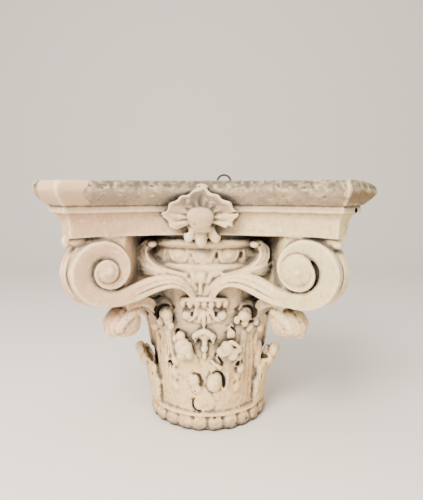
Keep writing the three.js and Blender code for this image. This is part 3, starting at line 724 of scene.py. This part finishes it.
# The swelling of the bell behind the strands, and the tongue between the stems.
pellet(-1.4, 97.5, 193, (24, 20, 6.5), plump=2.4)
pellet(-2.7, 106, 243, (25, 23, 12), plump=2.6)
pellet(-2.7, 102, 226, (14, 14, 10), plump=2.6)
pellet(-2.7, 112, 257, (36, 9, 9.5), plump=2.6)
pellet(-2.7, 118.5, 250, (8, 10.5, 8), narrow=-0.25)
pellet(-8, 117.5, 250, (5.4, 10.5, 6), tilt=24)
pellet(2.8, 117.5, 250, (5.4, 10.5, 6), tilt=-24)
roll([(-3, 121, 243), (-3.4, 120, 234), (-3.6, 117, 224)], 3.4, taper=(1, 0.8))

# The hood, and the bud in it with its drilled eyes.
roll([(-11.2, 101, 150), (-8.4, 103, 158), (-1.5, 104.5, 164.5), (5.4, 103, 158), (8.6, 101, 151.5)], 5,
     blunt=0.2)
pellet(-1.4, 99, 158, (11, 9, 7))
pellet(-1.3, 99, 146, (5.2, 11, 7))
pellet(-1.3, 100, 137, (6.2, 6.6, 6.6))
pellet(-1.3, 96, 126, (4, 9, 5))
for azimuth in (-8.8, 6.2):
    pellet(azimuth, 100.5, 150, (3.6, 6, 5))
for azimuth, z in ((-9, 153), (-5, 149.5), (2.4, 149.5), (6.6, 153)):
    pit(azimuth, 108, z, (1.6, 2.4, 3))
for hand in (-1, 1):
    pit(-1.3 + hand * 5.6, 103.5, 147.5, (3.2, 2.6, 4.5), tilt=hand * 20)


# ---- Lobes at the foot: the inner lobes of the two front leaves curl over each other above a
# ---- pocket. Its lower edge is thin plaster that has broken away raggedly.
pellet(-11.6, 92.5, 83, (8.8, 10.5, 8), tilt=8, plump=2.3)
pellet(-9.6, 92, 70, (8.4, 10, 7), tilt=20)
score([(-12.6, 95, 92), (-9.4, 95.5, 94), (-6.2, 95, 90), (-4.4, 94.5, 82), (-3.8, 94.5, 75)], 2.1,
      taper=(0.7, 1.1), blunt=0.4, flat=2.2)
pellet(8, 92.5, 80, (11.8, 15.5, 9.5), tilt=-8, plump=2.3)
pellet(10.5, 91, 60, (7, 12, 5.5), tilt=10)
score([(5, 95.5, 95), (8.5, 96, 97.5), (12.4, 96, 97), (15.6, 96, 91), (17, 95, 80), (17.2, 94, 68)], 3.1,
      taper=(0.6, 1.1), blunt=0.45, flat=3)
pellet(20.5, 93, 86, (4, 15, 5.5), tilt=-4)
pit(-9.9, 98, 67, (1.6, 1.8, 5))
pit(-4.6, 96, 76, (1.8, 2.4, 5))
pellet(-1.5, 90.5, 51, (16, 21, 3.8), narrow=0.3, plump=2.4)
score([(-7, 95, 68), (-9.6, 94.4, 61), (-12.2, 93.8, 53), (-12.8, 93, 46)], 1.3, blunt=0.4)
score([(-12.6, 93, 52), (-12.9, 92, 43), (-11.8, 92, 36), (-8.4, 93, 32.8), (-4, 93, 32.8)], 3.3,
      taper=(0.5, 0.9), blunt=0.35, flat=2.4)
for azimuth, z, half in ((-0.5, 32.5, 1.5), (2.4, 33.2, 1.2), (5, 33.6, 1.5)):
    pit(azimuth, 98, z, (half, 1.2, 4))
pit(-10.6, 95.5, 33, (4.6, 3, 5.5))
for azimuth, z in ((6.2, 38), (7.8, 43), (8.6, 48), (6.9, 51), (9, 54), (5, 36), (7.2, 57)):
    pit(azimuth, 98.5, z, (1.1, 1.3, 2))


# ---- Flower: a hood of petals over a bud, with side lobes and three hanging petals, in the
# ---- middle of each abacus face. It is one with the abacus, across its hollow, fillet and round.
# Each flute of the hood fans from the bud to its own end: (along, up).
HOOD_EDGE = [
    (-34, 325), (-44, 322), (-54, 328), (-61, 335), (-65, 345), (-57, 351), (-50, 360), (-36, 367.5),
    (-19, 374), (-4, 381), (8, 375), (25, 367.5), (42, 358), (51, 347), (50, 337), (44, 329), (34, 324),
]
HOOD_MIDDLE = (-5, 338)
FLUTE_DEPTH = 1.7
HOOD_BASE = 26                  # how far out the bottom of the bowl is
HOOD_LIP = ((320, 345, 362, 381), (21, 30, 41, 45))     # up, and how far out the lip is there
BUD = (-5.2, 337.5)


def add_flower(quarter):
    # The hood is a bowl: it rises from the middle to a fluted lip that stands clear of the round.
    edge = smooth_path(HOOD_EDGE, 110)
    share = np.array([0, 0.2, 0.4, 0.6, 0.75, 0.87, 0.95, 1, 0.98, 0.9])
    rise = np.array([0, 0.04, 0.14, 0.34, 0.58, 0.84, 0.98, 0.95, 0.72, 0.30])
    rings = []
    for place, (edge_s, edge_z) in enumerate(edge):
        lip = float(np.interp(edge_z, *HOOD_LIP))
        flute = math.cos(place * 2 * math.pi / 10.5)
        reach = share * (1 + 0.035 * flute)
        s = HOOD_MIDDLE[0] + (edge_s - HOOD_MIDDLE[0]) * reach
        z = HOOD_MIDDLE[1] + (edge_z - HOOD_MIDDLE[1]) * reach
        fluting = FLUTE_DEPTH * flute * np.sin(np.pi * np.minimum(share, 1) ** 0.8)
        out = HOOD_BASE + (lip - HOOD_BASE) * rise + fluting
        s = np.append(s, [s[-1], HOOD_MIDDLE[0]])
        z = np.append(z, [z[-1], HOOD_MIDDLE[1]])
        rings.append(on_sheet(quarter, s, z, np.append(out, [2, 2])))
    added.append(loft(rings))
    sheet_pellet(quarter, -3, 380, 38, (9, 4.5, 6), lean=20)
    # The bud.
    sheet_pellet(quarter, *BUD, 30, (17.5, 17.5, 10), tilt=180, lean=-12, narrow=0.3, plump=2.6)
    sheet_score(quarter, [(-20.5, 343, 33), (-17.5, 335, 35.5), (-12, 328, 36.5), (-6, 323, 36)], 1.6,
                blunt=0.3)
    sheet_score(quarter, [(-1, 349, 39), (3.5, 341, 40), (4.5, 332, 38.5)], 0.9, blunt=0.4)
    # Hanging petals.
    sheet_pellet(quarter, -21.5, 317, 12, (8, 14, 7), tilt=-16)
    sheet_pellet(quarter, -5, 313, 13, (9, 17, 7.5))
    sheet_pellet(quarter, 13.5, 317, 12, (9, 15, 7.5), tilt=18)
    sheet_pellet(quarter, -5, 325, 14, (20, 9, 9))
    sheet_pit(quarter, -13.8, 306, 16, (1.4, 5, 4), tilt=-8)
    # Drilled gaps.
    sheet_pit(quarter, -27.5, 322.5, 17, (4, 5.2, 13), tilt=30)
    sheet_score(quarter, [(17.5, 328, 17), (20.5, 321, 14), (25, 314, 11)], 3.8, blunt=0.3, flat=3.4)
    sheet_score(quarter, [(32, 343, 32), (41, 345.5, 31), (52, 347, 29)], 1.5, blunt=0.3, flat=3)
    sheet_score(quarter, [(-48, 338, 27), (-57, 341, 28), (-66, 342, 28)], 1.1, blunt=0.3, flat=2.4)
    sheet_pit(quarter, 36, 327, 22, (3.4, 2, 8))
    sheet_pit(quarter, 7.5, 303, 16, (2, 2.4, 6))


for quarter in (0, -1, 1):
    add_flower(quarter)


# ---- The cast: gypsum plaster poured as one piece into a mould and long since whitewashed. The
# ---- shells are fused into one skin, the carving is cut out of it, and the skin is rubbed soft.
MM = 0.001
VOXEL = 1.15
CARVING_FINENESS = 0.6          # the carving's voxels are smaller
FACE_LIMIT = 195_000
SPARE_BACK = 4.0                # plaster left behind the back, to be cut away
FAR = 0.6                       # metres, past the cast on every side


def mesh_from(name, shells):
    """One mesh in metres from shells in mm. Nothing reaches far behind the cut back."""
    points, faces = [], []
    for shell, quads, fans in shells:
        faces += [*(quads + len(points)).tolist(), *(fans + len(points)).tolist()]
        points.extend(shell)
    points = np.minimum(points, (np.inf, BACK_Y + SPARE_BACK, np.inf))
    mesh = bpy.data.meshes.new(name)
    mesh.from_pydata(points * MM, [], faces)
    return mesh


def shown(name, data):
    thing = bpy.data.objects.new(name, data)
    bpy.context.scene.collection.objects.link(thing)
    return thing


def settled(thing):
    """Applies a thing's modifiers to its mesh."""
    graph = bpy.context.evaluated_depsgraph_get()
    mesh = bpy.data.meshes.new_from_object(thing.evaluated_get(graph))
    thing.modifiers.clear()
    old = thing.data
    thing.data = mesh
    bpy.data.meshes.remove(old)
    return thing


def fuse(thing, voxel):
    skin = thing.modifiers.new("fuse", "REMESH")
    skin.mode = "VOXEL"
    skin.voxel_size = voxel * MM
    return settled(thing)


cast = fuse(shown("plaster_capital", mesh_from("plaster_capital", added)), VOXEL)
tools = fuse(shown("carving", mesh_from("carving", carved)), VOXEL * CARVING_FINENESS)
block = bpy.data.meshes.new("block")
block.from_pydata(
    [(x, y, z) for x in (-FAR, FAR) for y in (BACK_Y * MM, FAR) for z in (-FAR, FAR)], [],
    [(0, 1, 3, 2), (4, 6, 7, 5), (0, 4, 5, 1), (2, 3, 7, 6), (0, 2, 6, 4), (1, 5, 7, 3)],
)
wall = shown("wall", block)
for tool in (tools, wall):
    cut = cast.modifiers.new("cut", "BOOLEAN")
    cut.operation = "DIFFERENCE"
    cut.solver = "MANIFOLD"
    cut.object = tool
    settled(cast)
    bpy.data.objects.remove(tool)
fuse(cast, VOXEL)


def read_rows(rows, key):
    flat = np.empty(len(rows) * 3, np.float32)
    rows.foreach_get(key, flat)
    return flat.reshape(-1, 3).astype(float)


def read_points(mesh):
    return read_rows(mesh.vertices, "co") / MM


def write_points(mesh, points):
    mesh.vertices.foreach_set("co", (points * MM).astype(np.float32).ravel())
    mesh.update()


def smoothed(mesh, points, rounds):
    """Each point goes halfway to the middle of its neighbours, a number of times."""
    edges = np.empty(len(mesh.edges) * 2, np.int32)
    mesh.edges.foreach_get("vertices", edges)
    a, b = edges.reshape(-1, 2).T
    count = np.bincount(a, minlength=len(points)) + np.bincount(b, minlength=len(points))
    for _ in range(rounds):
        around = np.empty_like(points)
        for axis in range(points.shape[1]):
            column = points[:, axis]
            total = np.bincount(a, column[b], len(points)) + np.bincount(b, column[a], len(points))
            around[:, axis] = total / np.maximum(count, 1)
        points = (points + around) / 2
    return points


def lumps(points, size, seed):
    """Smooth random bumps from -1 to 1, about size mm apart."""
    grid = np.random.default_rng(seed).uniform(-1, 1, (32, 32, 32))
    place = points / size + 100.5
    cell = np.floor(place).astype(int)
    share = place - cell
    share = share * share * (3 - 2 * share)
    total = np.zeros(len(points))
    for corner in np.ndindex(2, 2, 2):
        weight = np.where(corner, share, 1 - share).prod(axis=1)
        total += weight * grid[tuple(((cell + corner) % 32).T)]
    return total


def bumps(points, *layers):
    """Lumps of several sizes together: the strength in mm, size and seed of each."""
    return sum(strength * lumps(points, size, seed) for strength, size, seed in layers)


def ramp(values, start, end):
    """From 0 at the start to 1 at the end, smoothly."""
    share = np.clip((values - start) / (end - start), 0, 1)
    return share * share * (3 - 2 * share)


def band(values, start, full, fading, end):
    """1 between full and fading, and 0 before the start and past the end."""
    return ramp(values, start, full) * ramp(values, end, fading)


PIT_DEPTH = 3.2
HORN_WEAR = 4.5

points = smoothed(cast.data, read_points(cast.data), 2)
write_points(cast.data, points)
normals = read_rows(cast.data.vertex_normals, "vector")
x, y, z = points.T
in_front = ramp(BACK_Y - y, 1.5, 5)
swell = bumps(points, (0.45, 26, 1), (0.26, 9, 2), (0.14, 3.6, 3))
# The leaves and the foot were modelled and rubbed the least evenly, above all the leaves' tips.
swell += ramp(z, 225, 205) * bumps(points, (0.55, 14, 10), (0.42, 6, 11), (0.22, 3.2, 12))
leaf_tips = band(z, 96, 112, 210, 222) * ramp(np.hypot(x, y), 103, 108)
swell += leaf_tips * bumps(points, (0.55, 7, 13), (0.35, 3.5, 14))
# The abacus has weathered more than the rest, and pits have opened in its round.
pits = np.maximum(bumps(points, (0.6, 7, 4), (0.4, 3.4, 6)) - 0.42, 0)
swell += ramp(z, 352, 358) * (bumps(points, (0.45, 17, 5), (0.3, 6, 7)) - PIT_DEPTH * pits)
# A mend on the left horn is smooth.
edge = x + 5 * lumps(points, 13, 9)
patched = band(edge, -214, -207, -149, -143) * ramp(z, 356.5, 360)
swell *= 1 - 0.85 * patched
points += normals * (swell * in_front)[:, None]
# The right horn's upper edge is worn down to a slope.
x, y, z = points.T
points[:, 2] -= HORN_WEAR * ramp(x, 190, 224) * ramp(z, 352, 389) * in_front
# Nothing stands outside the box of the solid, or outside the flat cuts at the back, foot and top.
low, high = (np.array(corner) / MM for corner in cad_box)
low[2], high[1], high[2] = 0, BACK_Y, TOTAL_HEIGHT
points = np.clip(points, low, high)
write_points(cast.data, points)

# How deep each point lies in a narrow and in a wide hollow, below 0.5 on a ridge.
normals = read_rows(cast.data.vertex_normals, "vector")
marks = {}
for name, rounds, reach in (("crease", 6, 0.36), ("hollow", 60, 3.0)):
    middle = smoothed(cast.data, points, rounds)
    depth = ((middle - points) * normals).sum(1)
    depth = smoothed(cast.data, depth[:, None], 3)[:, 0]
    marks[name] = np.clip(0.5 + 0.5 * depth / reach, 0, 1)
# Painted shade with some soot in the recesses: beside the echinus, under the stems and behind the
# coils, with a thinner painted shade over the corner leaves.
x, y, z = points.T
radius = np.hypot(x, y)
azimuth = np.degrees(np.arctan2(np.abs(x), -y))
soot_and_painted_shade = ramp(azimuth, 35, 42) * ramp(radius, 150, 130) * band(z, 258, 276, 312, 340)
soot_and_painted_shade += ramp(azimuth, 22, 32) * ramp(radius, 124, 114) * band(z, 188, 204, 236, 250)
soot_and_painted_shade += 0.75 * ramp(azimuth, 36, 40) * band(radius, 147, 151, 164, 176) * band(z, 236, 246, 318, 330)
soot_and_painted_shade += 0.55 * band(azimuth, 37, 43, 62, 70) * ramp(radius, 152, 138) * band(z, 166, 182, 222, 236)
marks["soot_and_painted_shade"] = np.clip(soot_and_painted_shade, 0, 1) * in_front
# The buds of the flowers are duller than their petals.
marks["bud"] = np.zeros(len(points))
for quarter in (0, -1, 1):
    gap = np.linalg.norm(points - on_sheet(quarter, *BUD, 38), axis=1)
    marks["bud"] += ramp(gap, 20, 14)
# The corner curls get less of the dust and painted shade.
marks["curl"] = ramp(radius, 134, 148) * ramp(z, 222, 212)
marks["patch"] = patched
# How near each point is to a deep cut.
near = np.full(len(points), np.inf)
for *spot, reach in drilled:
    near = np.minimum(near, np.linalg.norm(points - spot, axis=1) - reach)
marks["drilled"] = ramp(near, 2.6, 0.6)
for name, values in marks.items():
    mark = cast.data.attributes.new(name, "FLOAT", "POINT")
    mark.data.foreach_set("value", values.astype(np.float32))

faces = sum(len(p.vertices) - 2 for p in cast.data.polygons)
if faces > FACE_LIMIT:
    thin = cast.modifiers.new("thin", "DECIMATE")
    thin.ratio = FACE_LIMIT / faces
    settled(cast)
    write_points(cast.data, np.clip(read_points(cast.data), low, high))
cast.data.polygons.foreach_set("use_smooth", [True] * len(cast.data.polygons))


def to_linear(colour):
    """sRGB hex to the linear values that a shader takes."""
    parts = [int(colour[i:i + 2], 16) / 255 for i in (1, 3, 5)]
    return tuple(c / 12.92 if c <= 0.04045 else ((c + 0.055) / 1.055) ** 2.4 for c in parts) + (1.0,)


def node(material, kind, links=None, **settings):
    """Adds a node. Settings are its properties, or its inputs by number or name; links feed inputs."""
    made = material.node_tree.nodes.new("ShaderNode" + kind)
    for key, value in settings.items():
        if key.startswith("input_"):
            made.inputs[int(key[6:])].default_value = value
        elif hasattr(made, key):
            setattr(made, key, value)
        else:
            made.inputs[key.replace("_", " ")].default_value = value
    for key, source in (links or {}).items():
        material.node_tree.links.new(source, made.inputs[key])
    return made


def new_finish(name, **settings):
    """A material, and its shader with the settings on its own inputs."""
    material = bpy.data.materials.new(name)
    material.use_nodes = True
    shader = material.node_tree.nodes["Principled BSDF"]
    for key, value in settings.items():
        shader.inputs[key.replace("_", " ")].default_value = value
    return material, shader


# Old whitewash over plaster, brushed on: a chalky skin with hardly a shine, warmer where it has
# yellowed, brown in the hollows from settled dust and smoke and from painted shade, and pale where it is
# rubbed, with a painted highlight along the ridges.
WHITEWASH = "#eccfa4"
GRAIN = 2.6                     # mm, grit under the brush, drawn coarser than it is so that it shows
GRAIN_DEPTH = 0.0006            # metres
HOLLOW_REACH = 0.03             # metres, how far round it a hollow is looked for
BLOTCHES = (60, 38, 21, 13, 9, 5, GRAIN)    # mm
plaster, shader = new_finish("old_whitewashed_plaster", Roughness=0.82, Specular_IOR_Level=0.3)
place = node(plaster, "TexCoord").outputs["Object"]
split = node(plaster, "SeparateXYZ", {"Vector": place})
sources = {
    "side": split.outputs["X"],
    "height": split.outputs["Z"],
    "open": node(plaster, "AmbientOcclusion", samples=6, Distance=HOLLOW_REACH).outputs["AO"],
}
for name in marks:
    sources[name] = node(plaster, "Attribute", attribute_name=name).outputs["Fac"]
for size in BLOTCHES:
    blotch = node(plaster, "TexNoise", {"Vector": place}, Scale=1000 / size, Detail=4, Roughness=0.62)
    sources[size] = blotch.outputs["Fac"]

# Each layer lies over the last; most are stains, some are painted shade, and one is partly a painted
# highlight. Each has a colour and windows whose strengths are multiplied: a source, the two values it is
# taken between, the strength at the second, and the strength at the first where that isn't nothing. Sides
# and heights are in metres, and blotches go by their size.
ON_ROUND = ("height", 0.3535, 0.3575, 1)
STAINS_AND_PAINTED_LIGHT = [
    ("#d8ba94", [(38, 0.42, 0.66, 0.7)]),
    ("#d2aa8b", [("side", -0.02, -0.10, 1), (60, 0.35, 0.6, 0.85, 0.4)]),
    ("#f3d592", [("height", 0.19, 0.10, 0.55)]),
    ("#dccd9b", [("side", 0.05, 0.12, 1), ("height", 0.18, 0.22, 1), (60, 0.3, 0.6, 0.9, 0.45)]),
    ("#d6ad74", [("side", 0, 0.08, 1), ("height", 0.20, 0.12, 1), (38, 0.35, 0.6, 0.8, 0.2)]),
    ("#bfa27e", [(13, 0.48, 0.66, 0.6)]),
    ("#b9a080", [(5, 0.52, 0.68, 0.5)]),
    ("#fbe9c8", [(9, 0.55, 0.70, 0.55)]),
    ("#bd9664", [("height", 0.036, 0.026, 0.6), (13, 0.3, 0.6, 1, 0.5)]),
    ("#b79c7e", [("height", 0.344, 0.3465, 0.85), (21, 0.3, 0.6, 1, 0.4)]),
    ("#948470", [ON_ROUND, (21, 0.34, 0.60, 1, 0.6)]),
    ("#75624a", [ON_ROUND, (9, 0.52, 0.70, 0.7)]),
    ("#756040", [ON_ROUND, ("side", 0.155, 0.185, 1), (13, 0.3, 0.6, 0.95, 0.5)]),
    ("#e6d2ae", [ON_ROUND, (13, 0.60, 0.69, 0.8)]),
    ("#575044", [("height", 0.3750, 0.3795, 1), ("height", 0.388, 0.3889, 0.35, 1),
                 (21, 0.3, 0.6, 1, 0.75)]),
    ("#cdac8e", [("patch", 0.4, 0.6, 0.95)]),
    # Whitewash rubbed pale on the ridges, together with a painted highlight there.
    ("#f6e4c0", [("crease", 0.47, 0.26, 0.6)]),
    ("#b99f80", [("bud", 0, 1, 0.6)]),
    # Painted shade with dust in the wide hollows.
    ("#9a8c78", [("hollow", 0.55, 0.80, 0.6)]),
    # Painted shade with dust where the plaster is hemmed in, less of it on the corner curls.
    ("#9a968e", [("open", 0.90, 0.50, 0.75), ("curl", 0, 1, 0.3, 1)]),
    # Painted shade with dirt in the narrow creases.
    ("#6f6150", [("crease", 0.55, 0.76, 0.9), (5, 0.2, 0.5, 1, 0.5)]),
    # Painted shade with some soot in the recesses.
    ("#717069", [("soot_and_painted_shade", 0.1, 1, 0.85), (9, 0.32, 0.62, 1, 0.35)]),
    ("#4e3e2c", [(GRAIN, 0.60, 0.70, 0.7), (21, 0.44, 0.64, 1)]),
    # Deeper painted shade with dirt further in, less of it on the corner curls.
    ("#4b463e", [("open", 0.76, 0.42, 1), (5, 0.3, 0.6, 1, 0.45), ("curl", 0, 1, 0.25, 1)]),
    # Dirt and painted shade, near black, in the deep cuts and the deepest creases.
    ("#2c2117", [("drilled", 0.2, 0.9, 0.9), ("crease", 0.38, 0.5, 1, 0.15)]),
    # Painted shade, near black, in the most hemmed-in places.
    ("#1c150e", [("open", 0.46, 0.18, 0.95)]),
]
under = {}
for layer_colour, windows in STAINS_AND_PAINTED_LIGHT:
    strength = None
    for source, start, end, after, *before in windows:
        share = node(
            plaster, "MapRange", {"Value": sources[source]}, interpolation_type="SMOOTHSTEP",
            From_Min=start, From_Max=end, To_Min=sum(before), To_Max=after,
        ).outputs["Result"]
        if strength:
            share = node(plaster, "Math", {0: strength, 1: share}, operation="MULTIPLY").outputs[0]
        strength = share
    laid = node(
        plaster, "Mix", {0: strength, **under}, data_type="RGBA",
        input_6=to_linear(WHITEWASH), input_7=to_linear(layer_colour),
    )
    under = {6: laid.outputs[2]}
plaster.node_tree.links.new(laid.outputs[2], shader.inputs["Base Color"])
grain = node(plaster, "Bump", {"Height": sources[GRAIN]}, Strength=0.45, Distance=GRAIN_DEPTH)
plaster.node_tree.links.new(grain.outputs["Normal"], shader.inputs["Normal"])

cast.data.materials.clear()
cast.data.materials.append(plaster)
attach(cast, "root")
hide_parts("capital")


# ---- Hanging eye: steel wire about 3 mm thick, bent to a loop round a bar. Its two legs are set in
# ---- the top of the cast at the back.
eye_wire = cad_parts["hanging_loop"]
# Drawn steel wire, dulled by a thin brown rust: dark, with a dull shine along the bend.
WIRE_COLOUR = "#4a4440"
wire, _ = new_finish("rusty_wire", Base_Color=to_linear(WIRE_COLOUR), Metallic=0.9, Roughness=0.5)
eye_wire.data.materials.clear()
eye_wire.data.materials.append(wire)


# ---- Studio: a pale floor that curves up behind, soft light from the front and above, and a
# ---- camera close to the cast, a little above its middle and tipped slightly down.
WALL_START, WALL_CURVE, WALL_TOP = 1.4, 0.6, 3.5
FLOOR_FRONT, FLOOR_SIDE = -3.0, 4.0
profile = [(FLOOR_FRONT, 0), (WALL_START, 0)]
for turn in np.radians(np.arange(10, 91, 10)):
    profile.append((WALL_START + WALL_CURVE * math.sin(turn), WALL_CURVE * (1 - math.cos(turn))))
profile.append((WALL_START + WALL_CURVE, WALL_TOP))
floor_mesh = bpy.data.meshes.new("floor")
floor_mesh.from_pydata(
    [(x, y, z) for y, z in profile for x in (-FLOOR_SIDE, FLOOR_SIDE)], [],
    [(2 * i, 2 * i + 1, 2 * i + 3, 2 * i + 2) for i in range(len(profile) - 1)],
)
floor = shown("floor", floor_mesh)
floor_mesh.polygons.foreach_set("use_smooth", [True] * len(floor_mesh.polygons))
# Matt backdrop paper: a plain pale ground with no shine.
paper, _ = new_finish("pale_paper", Base_Color=to_linear("#e6e3df"), Roughness=0.9)
floor_mesh.materials.append(paper)

world = bpy.data.worlds.new("studio")
world.use_nodes = True
sky = world.node_tree.nodes["Background"]
sky.inputs["Color"].default_value = to_linear("#f7f0e6")
sky.inputs["Strength"].default_value = 0.8
bpy.context.scene.world = world


def add_light(name, place, aim, size, power, colour):
    data = bpy.data.lights.new(name, "AREA")
    data.shape = "RECTANGLE"
    data.size, data.size_y = size
    data.energy = power
    data.color = to_linear(colour)[:3]
    light = shown(name, data)
    light.location = place
    light.rotation_euler = (Vector(aim) - Vector(place)).to_track_quat("-Z", "Y").to_euler()


add_light("window", (-0.55, -1.45, 1.4), (0, -0.1, 0.25), (0.8, 0.8), 92, "#fff1e0")
add_light("overhead", (-0.3, -0.5, 1.9), (0, -0.1, 0.2), (1.4, 1.4), 26, "#fff4e6")

EYE_PLACE = (0.0255, -0.791, 0.377)
EYE_PITCH = 0.128
EYE_YAW = 0.0245
LENS = 33.84
camera = shown("camera", bpy.data.cameras.new("camera"))
camera.data.lens = LENS
look = Vector((
    -math.sin(EYE_YAW) * math.cos(EYE_PITCH),
    math.cos(EYE_YAW) * math.cos(EYE_PITCH),
    -math.sin(EYE_PITCH),
))
camera.location = EYE_PLACE
camera.rotation_euler = look.to_track_quat("-Z", "Y").to_euler()
bpy.context.scene.camera = camera
